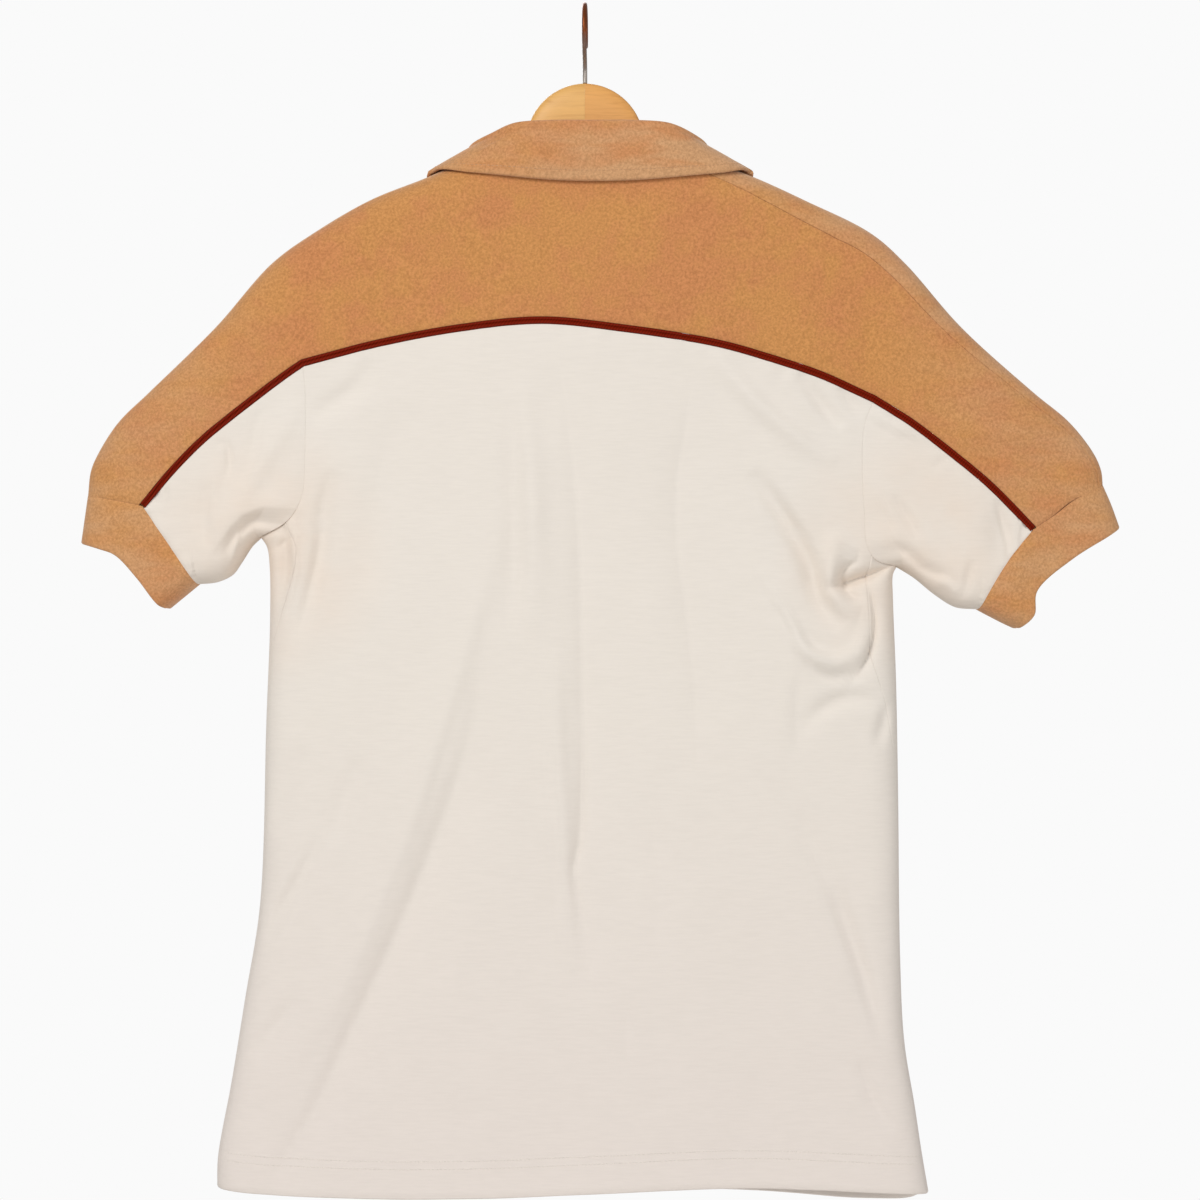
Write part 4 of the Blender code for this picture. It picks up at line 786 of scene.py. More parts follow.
def patch(bottom, top, left, right, across, up, hold=1):
    """Coons patch: a grid between four edges; the sides' ends are drawn to the corners.

    Straight rows between the sides, plus what the bottom and top edges have beyond a
    straight row, which fades towards the other edge, faster with a higher hold.
    """
    start, end = bottom.reshape(-1, *bottom.shape[-2:])[0, [0, -1]], top[[0, -1]]
    rise = np.asarray(up)[:, None]
    left = left + (1 - rise) * (start[0] - left[0]) + rise * (end[0] - left[-1])
    right = right + (1 - rise) * (start[1] - right[0]) + rise * (end[1] - right[-1])
    u = np.broadcast_to(across, (len(up), bottom.shape[-2]))[..., None]
    v = np.asarray(up)[:, None, None]
    straight = (1 - u) * left[:, None] + u * right[:, None]
    below = bottom - ((1 - u) * left[0] + u * right[0])
    above = top - ((1 - u) * left[-1] + u * right[-1])
    return straight + (1 - v) ** hold * below + v ** hold * above


# ------------------------------------------------------------------ seams, as stations

def shoulder_stations(half):
    """Places along the shoulder and overarm fold, neck to cuff, in the half's own frame."""
    near = np.linspace(0, SHOULDER_SHARE, SHOULDER_STEPS + 1)
    far = np.linspace(SHOULDER_SHARE, 1, SLEEVE_STEPS + 1)[1:]
    fractions = np.concatenate([near, far])
    return fractions, along(smooth_line(OUTLINE[half]["shoulder"]), fractions)


def shoulder_seam(half, side):
    """The shoulder seam on the back layer; side +1 is the back yoke's edge, -1 the front's."""
    fractions, fold = shoulder_stations(half)
    reach = table(SEAMS[half]["shoulder_inset"], fractions) + side * SEAM_GAP / 2
    seam = shifted(fold, -reach[:, None])
    for k, line in ((0, smooth_line(BACK_NECK)), (-1, cuff_seam(half, BACK, "top"))):
        seam[k] = along(line, reach[k] / distances(line)[-1])
    return seam


def sleeve_piping(half, layer):
    """Centre of the piping on the sleeve, from the armhole to the cuff."""
    stations = even(SLEEVE_STEPS)
    if layer == BACK:
        return along(smooth_line(SEAMS[half]["sleeve_piping"]), stations)
    return along(smooth_line([FRONT_KINK, FRONT_SLEEVE_BEND, front_cuff_seam(half)[1]]), stations)


def front_cuff_seam(half):
    """The front cuff seam: its start at the fold, where the piping meets it, and its end."""
    top = np.array(SEAMS[half]["cuff_top"][0], float)
    bottom = np.array(SEAMS[half]["cuff_bottom"][-1], float)
    return top, top + FRONT_CUFF_SHARE * (bottom - top), bottom


def cuff_seam(half, layer, part):
    """The cuff seam's part above or below the piping, from the fold or the piping down."""
    if layer == BACK:
        return smooth_line(SEAMS[half]["cuff_" + part])
    points = front_cuff_seam(half)
    return smooth_line(points[:2] if part == "top" else points[1:])


def yoke_end(half, layer):
    """The yoke's end at the cuff: the cuff seam from just above the piping up to the fold."""
    line = cuff_seam(half, layer, "top")[::-1]
    piping = sleeve_piping(half, layer)
    step = unit(piping[-1] - piping[-2])
    away = line - piping[-1]
    beside = np.abs(away[:, 0] * step[1] - away[:, 1] * step[0])
    edge = PIPING_HALF_WIDTH + SEAM_GAP
    k = int(np.argmax(beside >= edge))
    share = (edge - beside[k - 1]) / (beside[k] - beside[k - 1])
    return np.vstack([line[k - 1] + share * (line[k] - line[k - 1]), line[k:]])


def armhole(half, layer):
    """Stations of the armhole seam, from the piping down to the underarm fold."""
    line = SEAMS[half]["armhole"]
    if layer == FRONT:
        end = line[-1]
        lead = (end[0] + FRONT_ARMHOLE_LEAD[0], end[1] + FRONT_ARMHOLE_LEAD[1])
        line = (FRONT_KINK, *FRONT_ARMHOLE_BENDS, lead, end)
    return along(smooth_line(line), crowded(ARMHOLE_STEPS))


def middle_fractions():
    """Stations of the back yoke seam between the armholes."""
    side = YOKE_SIDE_SHARE
    return np.concatenate([np.linspace(0, side, SHOULDER_STEPS + 1),
                           np.linspace(side, 1 - side, NECK_STEPS + 1)[1:],
                           np.linspace(1 - side, 1, SHOULDER_STEPS + 1)[1:]])


def back_piping_line():
    """Centre of the back piping, left cuff to right cuff, in the shared frame."""
    left = mirrored(sleeve_piping("left", BACK)[::-1], "left")
    middle_part = along(smooth_line(BACK_PIPING), middle_fractions())
    right = mirrored(sleeve_piping("right", BACK), "right")
    return np.vstack([left, middle_part[1:], right[1:]])


# How far the panels' edges stand off the middle of a piping, less the seam gap.
PIPING_HALF_WIDTH = 2.4


def seam_beside(line, side):
    """The edge of a panel beside a piping line; side +1 is the panel below it."""
    return shifted(line, side * (PIPING_HALF_WIDTH + SEAM_GAP))


def front_piping_line(half):
    """Centre of one front piping, cuff to centre front, in the half's own frame."""
    sleeve = sleeve_piping(half, FRONT)[::-1]
    share = 1 - FRONT_NECK_SHARE
    fractions = np.concatenate([np.linspace(0, share, SHOULDER_STEPS + 1),
                                np.linspace(share, 1, FRONT_NECK_STEPS + 1)[1:]])
    return np.vstack([sleeve, along(smooth_line(FRONT_PIPING)[::-1], fractions)[1:]])


def sleeve_edge(half, layer):
    """The under sleeve's edge beside the piping, armhole to cuff, in the half's frame."""
    if layer == FRONT:
        return seam_beside(front_piping_line(half), 1)[SLEEVE_STEPS::-1]
    line = mirrored(seam_beside(back_piping_line(), 1), half)
    return line[SLEEVE_STEPS::-1] if half == "left" else line[-SLEEVE_STEPS - 1:]


def flank_stations(half):
    """Places down the side fold, hem to underarm, in the half's own frame."""
    return along(smooth_line(OUTLINE[half]["flank"])[::-1], crowded(FLANK_STEPS, FLANK_CROWDING))


def side_seam(half, side):
    """The side seam on the back layer, hem to armpit; side +1 is the back panel's edge."""
    fold = flank_stations(half)
    reach = table(SEAMS[half]["side_inset"], fold[:, 1]) + side * CLOSED_SEAM / 2
    seam = fold - reach[:, None] * np.array([1.0, 0.0])
    corner = shifted(armhole(half, BACK), -CLOSED_SEAM)[ARMHOLE_STEPS - WRAP_STEPS]
    seam[-1] = corner - [side * CLOSED_SEAM / 2, 0]
    return seam


def both_ends_crowded(steps):
    """Fractions from 0 to 1 with short steps at both ends."""
    half = 0.5 * (1 - crowded(steps // 2, SIDE_CROWDING))[::-1]
    return np.concatenate([half, 1 - half[-2::-1]])


# --------------------------------------------------------------------- the materials

def add_node(tree, kind, settings=None, **links):
    """Add a shader node, whose kind is its type's name after ShaderNode.

    Settings go by attribute or by input name, and a colour ramp's stops by place and colour.
    Links go by input name, or by the letter i and the input's number, and come from a
    socket, or from a node's first output.
    """
    node = tree.nodes.new("ShaderNode" + kind)
    for key, value in (settings or {}).items():
        if key == "stops":
            while len(node.color_ramp.elements) < len(value):
                node.color_ramp.elements.new(0.5)
            for element, (place, colour) in zip(node.color_ramp.elements, value):
                element.position, element.color = place, (*colour, 1)
        elif isinstance(key, str) and hasattr(node, key):
            setattr(node, key, value)
        else:
            node.inputs[key].default_value = value
    return linked(node, **links)


def linked(node, **links):
    """The node, with links to its inputs."""
    for key, source in links.items():
        place = int(key[1:]) if key[1:].isdigit() else key.replace("_", " ")
        node.id_data.links.new(getattr(source, "outputs", (source,))[0], node.inputs[place])
    return node


def new_material(name, **values):
    """A Principled material with uniform values on its own sockets.

    Gives the material, its node tree and its Object coordinates.  One that was made before
    comes without a tree.
    """
    made = bpy.data.materials.get(name)
    if made:
        return made, None, None
    made = bpy.data.materials.new(name)
    made.use_nodes = True
    tree = made.node_tree
    shader = tree.nodes["Principled BSDF"]
    for key, value in values.items():
        shader.inputs[key.replace("_", " ")].default_value = value
    return made, tree, add_node(tree, "TexCoord").outputs["Object"]


def finished(made, **links):
    """The material, with its Principled shader's inputs linked."""
    linked(made.node_tree.nodes["Principled BSDF"], **links)
    return made


# A noise texture's cells look about this many times as wide as one unit of its scale, and a
# wave texture has this many bands in one.
NOISE_CELL = 1.6
WAVE_BANDS = 10 / math.pi


def per_metre(millimetres):
    """Scale of a pattern whose cell is so many millimetres, on Object coordinates."""
    return 1000.0 / millimetres


# How far the collar and cuffs are mixed towards the pale colour, and how far the front yokes
# are, as painted sheen on their overarm strips.  Out along the sleeves painted sheen makes the
# terry paler between these places on X, in metres, to at least this share of the pale colour,
# in bands that lean.
PALE, PALE_STRIP = 0.4, 0.45
PAINTED_SHEEN_FROM, PAINTED_SHEEN_TO, PAINTED_SHEEN_END = 0.2, 0.37, 0.5
PAINTED_SHEEN_LEAN = math.radians(-35)
# Painted light on the collar: paler towards its right between these places on X, in metres,
# to this share of the pale colour.
PAINTED_LIGHT_RIGHT_FROM, PAINTED_LIGHT_RIGHT_TO, PAINTED_LIGHT_RIGHT_SHARE = 0.05, -0.08, 1.0


def terry_material(colours, pale=0.0, painted_light_right=None):
    """Cotton terry: pile loops knitted proud of the ground, unshorn.

    The eye sees a soft matt nap with a fine speckle of lit tips and shaded gaps, rosier in
    broad patches, and paler in leaning bands along the sleeves: painted sheen of the pile seen
    at a slant.  A piece given painted light is paler towards its right.  Loops are 1.1 mm apart.
    """
    kind = "painted_light_right" if painted_light_right else "washed pale" if pale else "looped pile"
    made, tree, place = new_material(
        f"cotton terry, {kind} {pale:.2f}", Roughness=0.95, Sheen_Weight=0.3, Sheen_Roughness=0.55,
        Sheen_Tint=(1.0, 0.86, 0.74, 1), Specular_IOR_Level=0.12)
    if tree is None:
        return made
    loops = add_node(tree, "TexNoise", {"Scale": per_metre(1.1 * NOISE_CELL), "Detail": 2.0,
                                        "Roughness": 0.65}, Vector=place)
    tufts = add_node(tree, "TexNoise", {"Scale": per_metre(7 * NOISE_CELL), "Detail": 3.0},
                     Vector=place)
    broad = add_node(tree, "TexNoise", {"Scale": per_metre(34 * NOISE_CELL), "Detail": 2.0},
                     Vector=place)
    patches = add_node(tree, "Math", {"operation": "MULTIPLY_ADD", 1: 0.45}, i0=tufts, i2=broad)
    ground = add_node(tree, "ValToRGB", {"stops": ((0.62, colours.terry),
                                                   (0.85, colours.terry_warm))}, i0=patches)
    parts = add_node(tree, "SeparateXYZ", Vector=place).outputs
    out = add_node(tree, "Math", {"operation": "ABSOLUTE"}, i0=parts["X"])
    # Share of the pale colour: painted sheen, paler out along the sleeves; on the collar, painted
    # light instead, paler towards its right.
    across, near, far, most = out, PAINTED_SHEEN_FROM, PAINTED_SHEEN_TO, max(PAINTED_SHEEN_END, pale)
    if painted_light_right:
        across, near, far, most = parts["X"], PAINTED_LIGHT_RIGHT_FROM, PAINTED_LIGHT_RIGHT_TO, painted_light_right
    pale_and_painted_light = add_node(tree, "MapRange", {"From Min": near, "From Max": far, "To Min": pale,
                                         "To Max": most}, Value=across)
    folded = add_node(tree, "CombineXYZ", X=out, Z=parts["Z"])
    bands = add_node(tree, "Mapping", {"Rotation": (0, PAINTED_SHEEN_LEAN, 0),
                                       "Scale": (per_metre(90), 1, per_metre(26))}, Vector=folded)
    pale_bands = add_node(tree, "TexNoise", {"Scale": 1.0, "Detail": 3.0, "Roughness": 0.6},
                      Vector=bands)
    pale_bands = add_node(tree, "MapRange", {"From Min": 0.38, "From Max": 0.62, "To Min": 0.3,
                                         "To Max": 1.7}, Value=pale_bands)
    pale_and_painted_light = add_node(tree, "Math", {"operation": "MULTIPLY", "use_clamp": True},
                      i0=pale_and_painted_light, i1=pale_bands)
    # The pale colour mixed in, with its painted sheen and painted light.
    ground = add_node(tree, "Mix", {"data_type": "RGBA", 7: (*colours.terry_pale, 1)},
                      i0=pale_and_painted_light, i6=ground).outputs[2]
    speckle = add_node(tree, "ValToRGB", {"stops": ((0.32, (0.84, 0.82, 0.80)), (0.5, (1, 1, 1)),
                                                    (0.66, (1.14, 1.16, 1.2)))}, i0=loops)
    mix = add_node(tree, "Mix", {"data_type": "RGBA", "blend_type": "MULTIPLY", "Factor": 1.0},
                   i6=ground, i7=speckle)
    bump = add_node(tree, "Bump", {"Strength": 0.4, "Distance": 0.0006}, Height=loops)
    return finished(made, Base_Color=mix.outputs[2], Normal=bump)


# The left armpit, in metres, where the jersey's painted warm shade centres; the right one is
# taken as its mirror image.
ARMPIT = (0.232, 0.0, -0.39)


def jersey_material(colours):
    """Cotton interlock jersey: fine wales of knit stitches, laundered.

    The eye sees a smooth matt face with faint streaks across it, where the yarn varies, a warmer,
    darker tint near the armpits, painted shade of those hollows, and a duller one towards the hem,
    painted shade where the light falls off down the shirt.  The courses are 1.5 mm apart, coarser
    than the real 0.8 mm, so that they show.
    """
    made, tree, place = new_material(
        "cotton jersey, fine interlock", Roughness=0.9, Sheen_Weight=0.05, Sheen_Roughness=0.6,
        Specular_IOR_Level=0.15)
    if tree is None:
        return made
    courses = add_node(tree, "Mapping", {"Scale": (per_metre(14), per_metre(6), per_metre(1.5))},
                       Vector=place)
    knit = add_node(tree, "TexNoise", {"Scale": 1.0, "Detail": 2.0, "Roughness": 0.6},
                    Vector=courses)
    broad = add_node(tree, "TexNoise", {"Scale": per_metre(22 * NOISE_CELL), "Detail": 2.0},
                     Vector=place)
    parts = add_node(tree, "SeparateXYZ", Vector=place).outputs
    out = add_node(tree, "Math", {"operation": "ABSOLUTE"}, i0=parts["X"])
    folded = add_node(tree, "CombineXYZ", X=out, Z=parts["Z"])
    # Painted shade: a warmer, darker tint near each armpit.
    away = add_node(tree, "VectorMath", {"operation": "DISTANCE", 1: ARMPIT}, i0=folded)
    near = add_node(tree, "MapRange", {"From Min": 0.10, "From Max": 0.01, "To Max": 1.2},
                    Value=away.outputs["Value"])
    warm = add_node(tree, "Math", {"operation": "MULTIPLY", "use_clamp": True}, i0=near, i1=broad)
    # Painted shade: darker towards the hem.
    low = add_node(tree, "MapRange", {"From Min": -0.5, "From Max": -0.82}, Value=parts["Z"])
    ground = add_node(tree, "ValToRGB", {"stops": ((0, colours.jersey), (1, colours.jersey_low))},
                      i0=low)
    tint = add_node(tree, "Mix", {"data_type": "RGBA", 7: (*colours.jersey_warm, 1)},
                    i0=warm, i6=ground).outputs[2]
    speck = add_node(tree, "ValToRGB", {"stops": ((0.3, (0.972, 0.971, 0.969)),
                                                  (0.65, (1, 1, 1)))}, i0=knit)
    mix = add_node(tree, "Mix", {"data_type": "RGBA", "blend_type": "MULTIPLY", "Factor": 1.0},
                   i6=tint, i7=speck)
    bump = add_node(tree, "Bump", {"Strength": 0.25, "Distance": 0.0002}, Height=knit)
    return finished(made, Base_Color=mix.outputs[2], Normal=bump)


def piping_material(colours):
    """Satin bias tape over cord: floats of shiny thread, pressed.

    The eye sees a dark cord with a soft line of light along each ridge and a fine
    slanting rib.  The ribs are 1.8 mm apart so that they show.
    """
    made, tree, place = new_material(
        "satin piping, corded", Roughness=0.5, Specular_IOR_Level=0.06)
    if tree is None:
        return made
    turned = add_node(tree, "Mapping", {"Rotation": (0, math.radians(35), 0)}, Vector=place)
    ribs = add_node(tree, "TexWave", {"Scale": per_metre(1.8 * WAVE_BANDS), "Distortion": 1.5,
                                      "Detail": 1.0}, Vector=turned).outputs["Fac"]
    ground = np.array(colours.piping)
    colour = add_node(tree, "ValToRGB", {"stops": ((0.0, ground * 0.72), (1.0, ground * 1.2))},
                      i0=ribs)
    bump = add_node(tree, "Bump", {"Strength": 0.3, "Distance": 0.0002}, Height=ribs)
    return finished(made, Base_Color=colour, Normal=bump)


# How the grain of each half leans, in radians.
GRAIN_LEAN = {"left": 0.5, "right": -0.75}


def wood_material(colours, half):
    """Beech, turned and lacquered: soft grain under a clear coat.

    The eye sees a light honey surface with faint grain along the arm and small flecks,
    and a satin shine.  The grain lines are about 3 mm apart.
    """
    made, tree, place = new_material(
        f"lacquered beech, {half} half", Roughness=0.55, Coat_Weight=0.15, Coat_Roughness=0.3)
    if tree is None:
        return made
    ground = np.array(getattr(colours, f"wood_{half}"))
    grain = add_node(tree, "Mapping", {"Rotation": (0, GRAIN_LEAN[half], 0),
                                       "Scale": (per_metre(60), per_metre(6), per_metre(3))},
                     Vector=place)
    lines = add_node(tree, "TexNoise", {"Scale": 1.0, "Detail": 4.0, "Roughness": 0.62,
                                        "Distortion": 0.4}, Vector=grain)
    colour = add_node(tree, "ValToRGB", {"stops": ((0.3, ground * (0.86, 0.80, 0.72)),
                                                   (0.5, ground),
                                                   (0.7, np.minimum(ground * 1.08, 1)))}, i0=lines)
    bump = add_node(tree, "Bump", {"Strength": 0.12, "Distance": 0.0003}, Height=lines)
    return finished(made, Base_Color=colour, Normal=bump)


def wire_material(colours):
    """Steel wire, drawn and bent: grey and dull on the stem, browned by age round the bend."""
    made, tree, place = new_material("aged steel wire", Metallic=0.7, Roughness=0.42)
    if tree is None:
        return made
    height = add_node(tree, "SeparateXYZ", Vector=place).outputs["Z"]
    brown = add_node(tree, "MapRange", {"From Min": -0.04, "From Max": -0.02}, Value=height)
    colour = add_node(tree, "ValToRGB", {"stops": ((0, colours.wire), (1, colours.wire_browned))},
                      i0=brown)
    lines = add_node(tree, "TexNoise", {"Scale": per_metre(0.8), "Detail": 2.0}, Vector=place)
    bump = add_node(tree, "Bump", {"Strength": 0.05, "Distance": 0.0001}, Height=lines)
    return finished(made, Base_Color=colour, Normal=bump)


def button_material(colours):
    """Polyester button, cast and tumbled: brown with lighter clouds under a soft gloss."""
    made, tree, place = new_material(
        "cast polyester, clouded brown", Roughness=0.22, Coat_Weight=0.3, Coat_Roughness=0.1)
    if tree is None:
        return made
    clouds = add_node(tree, "TexNoise", {"Scale": per_metre(5), "Detail": 3.0, "Distortion": 1.2},
                      Vector=place)
    ground = np.array(colours.button)
    colour = add_node(tree, "ValToRGB", {"stops": ((0.35, ground * 0.7), (0.65, ground * 1.6))},
                      i0=clouds)
    return finished(made, Base_Color=colour)


def thread_material(shade, ground):
    """Spun polyester thread: a matt twist, in the colour of the cloth it sews."""
    made, tree, place = new_material(f"spun thread, {shade}", Roughness=0.7, Sheen_Weight=0.1)
    if tree is None:
        return made
    twist = add_node(tree, "TexNoise", {"Scale": per_metre(0.6), "Detail": 1.0}, Vector=place)
    ground = np.array(ground)
    colour = add_node(tree, "ValToRGB", {"stops": ((0.3, ground * 0.82),
                                                   (0.7, np.minimum(ground * 1.05, 1)))}, i0=twist)
    return finished(made, Base_Color=colour)


def floor_material(colours):
    """Painted studio floor: matt and pale, with a trace of roller texture."""
    made, tree, place = new_material("matt painted floor", Roughness=0.85)
    if tree is None:
        return made
    roller = add_node(tree, "TexNoise", {"Scale": per_metre(6), "Detail": 2.0}, Vector=place)
    ground = np.array(colours.floor)
    colour = add_node(tree, "ValToRGB", {"stops": ((0.3, ground * 0.985), (0.7, ground))},
                      i0=roller)
    return finished(made, Base_Color=colour)


# ---------------------------------------------------------------------- the operators

class ShirtOperator:
    """What the piece operators share: the settings of the scene."""

    bl_options = {"REGISTER", "UNDO"}

    @property
    def colours(self):
        return bpy.context.scene.shirt_colours

    @property
    def sizes(self):
        return bpy.context.scene.shirt_sizes

    @property
    def terry_mm(self):
        return self.sizes.terry / MM

    @property
    def jersey_mm(self):
        return self.sizes.jersey / MM


class SHIRT_OT_back_yoke(ShirtOperator, bpy.types.Operator):
    """Terry back yoke with the backs of both upper sleeves, cuff to cuff"""

    bl_idname = "shirt.back_yoke"
    bl_label = "Back yoke"

    def execute(self, context):
        lower = seam_beside(back_piping_line(), -1)
        left = mirrored(shoulder_seam("left", 1), "left")[::-1]
        right = mirrored(shoulder_seam("right", 1), "right")
        neck = smooth_line(BACK_NECK)
        near = [np.abs(neck[:, 0] - seam[0]).argmin() for seam in (left[-1], right[0])]
        neck = np.vstack([left[-1], neck[near[0] + 1:near[1]], right[0]])
        between = along(neck, even(NECK_STEPS))
        upper = np.vstack([left, between[1:-1], right])
        rows = crowded(YOKE_ROWS)
        ends = [mirrored(along(yoke_end(half, BACK), rows), half) for half in HALVES]
        lower[0], lower[-1] = ends[0][0], ends[1][0]
        grid = patch(lower, upper, ends[0], ends[1], even(len(lower) - 1), rows)
        # Out along the sleeves the terry carries painted sheen.
        piece = cloth_panel("terry_back_yoke", "back_yoke", grid, BACK,
                            terry_material(self.colours), "terry", self.terry_mm, sleeve=True)
        return {"FINISHED"}


class SHIRT_OT_front_yokes(ShirtOperator, bpy.types.Operator):
    """Terry front yokes with the fronts of the upper sleeves, wrapped over the shoulders"""

    bl_idname = "shirt.front_yokes"
    bl_label = "Front yokes"

    def front_yoke(self, half):
        """One half: a patch from the piping up to the fold, and on over it to the shoulder seam."""
        lower = seam_beside(front_piping_line(half), -1)
        lower[-1, 0] = CENTRE_GAP
        fold = shoulder_stations(half)[1][::-1]
        neck = along(smooth_line(FRONT_NECK), even(FRONT_NECK_STEPS))
        neck[-1, 0] = CENTRE_GAP
        upper = np.vstack([fold, neck[1:]])
        rows = crowded(YOKE_ROWS)
        end = along(yoke_end(half, FRONT), rows)
        lower[0] = end[0]
        centre = lower[-1] + (upper[-1] - lower[-1]) * rows[:, None]
        grid = patch(lower, upper, end, centre, even(len(lower) - 1), rows)
        seam = shoulder_seam(half, -1)[::-1]
        wrap = fold + (seam - fold) * (1 - crowded(SHOULDER_WRAP_STEPS))[::-1, None, None][1:]
        wrap = np.concatenate([wrap, np.repeat(wrap[:, -1:], FRONT_NECK_STEPS, axis=1)], axis=1)
        grid = np.concatenate([grid, wrap])
        layer = np.full(grid.shape[:2], FRONT)
        layer[YOKE_ROWS + 1:] = BACK
        present = np.ones(grid.shape[:2], bool)
        present[YOKE_ROWS + 1:, len(fold):] = False
        # The front yoke's terry is mixed paler: painted sheen on its overarm strip.
        piece = cloth_panel(f"terry_front_yoke_{half}", f"front_yoke_{half}", mirrored(grid, half),
                            layer, terry_material(self.colours, PALE_STRIP), "terry", self.terry_mm,
                            sleeve=True, present=present, sides=SIDES[:3])

    def execute(self, context):
        for half in HALVES:
            self.front_yoke(half)
        return {"FINISHED"}


# How fast the under sleeve's rows lose the form of its ends, and turn square to the fold.
UNDERARM_HOLD, UNDERARM_TURN = 3, 3


class SHIRT_OT_under_sleeves(ShirtOperator, bpy.types.Operator):
    """Jersey lower sleeves, from the back piping round the underarm to the front piping"""

    bl_idname = "shirt.under_sleeves"
    bl_label = "Under sleeves"

    def under_sleeve(self, half):
        """One half: near the underarm fold its rows turn square to the fold."""
        sheets = []
        stations = even(SLEEVE_STEPS)
        across = crowded(ARMHOLE_STEPS)[:, None]
        for layer in (BACK, FRONT):
            piping_edge = sleeve_edge(half, layer)
            hole = armhole(half, layer)
            hole[0] = piping_edge[0]
            cuff_edge = along(cuff_seam(half, layer, "bottom"), across[:, 0])
            under = along(smooth_line(OUTLINE[half]["underarm"]), stations)
            cuff_edge[0] = piping_edge[-1]
            sheet = patch(hole, cuff_edge, piping_edge, under, across[:, 0], stations,
                          UNDERARM_HOLD)
            reach = np.linalg.norm(piping_edge - under, axis=1)[:, None, None] * (1 - across)
            inward = mirrored(edge_distance(mirrored(under, half))[1], half)
            square = under[:, None] + inward[:, None] * reach
            sheet[1:-1] += (across ** UNDERARM_TURN * (square - sheet))[1:-1]
            sheets.append(sheet)
        grid = np.concatenate([sheets[0], sheets[1][:, -2::-1]], axis=1)
        layer = np.full(grid.shape[:2], BACK)
        layer[:, ARMHOLE_STEPS + 1:] = FRONT
        piece = cloth_panel(f"jersey_under_sleeve_{half}", f"under_sleeve_{half}",
                            mirrored(grid, half), layer, jersey_material(self.colours), "jersey",
                            self.jersey_mm, sleeve=True)

    def execute(self, context):
        for half in HALVES:
            self.under_sleeve(half)
        return {"FINISHED"}


def body_grid(edges, top, hem_line, columns):
    """A body panel's grid between its side edges, from the hem up to the top edge.

    Its columns stand at these fractions at the top and crowd to the sides lower down.
    """
    top[0] -= [CLOSED_SEAM, 0]
    top[-1] += [CLOSED_SEAM, 0]
    edges[0][-1], edges[1][-1] = top[0], top[-1]
    heights = 0.5 * (edges[0] + edges[1])[:, 1]
    up = (heights - heights[0]) / (heights[-1] - heights[0])
    blend = np.clip((1 - up) / (1 - up[FLANK_STEPS]), 0, 1)[:, None]
    across = blend * both_ends_crowded(len(columns) - 1) + (1 - blend) * columns
    hem = smooth_line(hem_line)
    hem[0], hem[-1] = edges[0][0], edges[1][0]
    return patch(along(hem, across), top, edges[0], edges[1], across, up)


class SHIRT_OT_back_body(ShirtOperator, bpy.types.Operator):
    """Jersey back panel, from the hem up to the yoke seam"""

    bl_idname = "shirt.back_body"
    bl_label = "Back body"

    def execute(self, context):
        edges = []
        for half in HALVES:
            hole = shifted(armhole(half, BACK), -CLOSED_SEAM)[ARMHOLE_STEPS - WRAP_STEPS - 1::-1]
            edges.append(mirrored(np.vstack([side_seam(half, 1), hole]), half))
        top = seam_beside(back_piping_line(), 1)[SLEEVE_STEPS:-SLEEVE_STEPS]
        grid = body_grid(edges, top, BACK_HEM, middle_fractions())
        piece = cloth_panel("jersey_back_body", "back_body", grid, BACK,
                            jersey_material(self.colours), "jersey", self.jersey_mm,
                            cut=("first row",))
        return {"FINISHED"}


class SHIRT_OT_front_body(ShirtOperator, bpy.types.Operator):
    """Jersey front panel, wrapped round both sides on to the back"""

    bl_idname = "shirt.front_body"
    bl_label = "Front body"

    def execute(self, context):
        edges, wraps = [], []
        reach = (1 - crowded(WRAP_STEPS))[:-1, None, None]
        for half in HALVES:
            fold = flank_stations(half)
            hole = shifted(armhole(half, BACK), -CLOSED_SEAM)
            fold[-1] = hole[-1]
            front_hole = shifted(armhole(half, FRONT), -CLOSED_SEAM)[-2::-1]
            edges.append(mirrored(np.vstack([fold, front_hole]), half))
            wrap = fold + (side_seam(half, -1) - fold) * reach
            wrap[1:, -1] = hole[ARMHOLE_STEPS - WRAP_STEPS + 1:-1]
            wraps.append(mirrored(wrap, half).transpose(1, 0, 2))
        halves = [mirrored(seam_beside(front_piping_line(half), 1)[SLEEVE_STEPS:], half)
                  for half in HALVES]
        top = np.vstack([halves[0], halves[1][-2::-1]])
        grid = body_grid(edges, top, FRONT_HEM, even(len(top) - 1))
        full = np.pad(grid, ((0, 0), (WRAP_STEPS, WRAP_STEPS), (0, 0)), mode="edge")
        full[:FLANK_STEPS + 1, :WRAP_STEPS] = wraps[0]
        full[:FLANK_STEPS + 1, -WRAP_STEPS:] = wraps[1][:, ::-1]
        layer = np.full(full.shape[:2], BACK)
        layer[:, WRAP_STEPS:-WRAP_STEPS] = FRONT
        present = np.ones(full.shape[:2], bool)
        present[FLANK_STEPS + 1:] = layer[FLANK_STEPS + 1:] == FRONT
        piece = cloth_panel("jersey_front_body", "front_body", full, layer,
                            jersey_material(self.colours), "jersey", self.jersey_mm,
                            present=present, sides=("first row", "last row"), cut=("first row",))
        return {"FINISHED"}


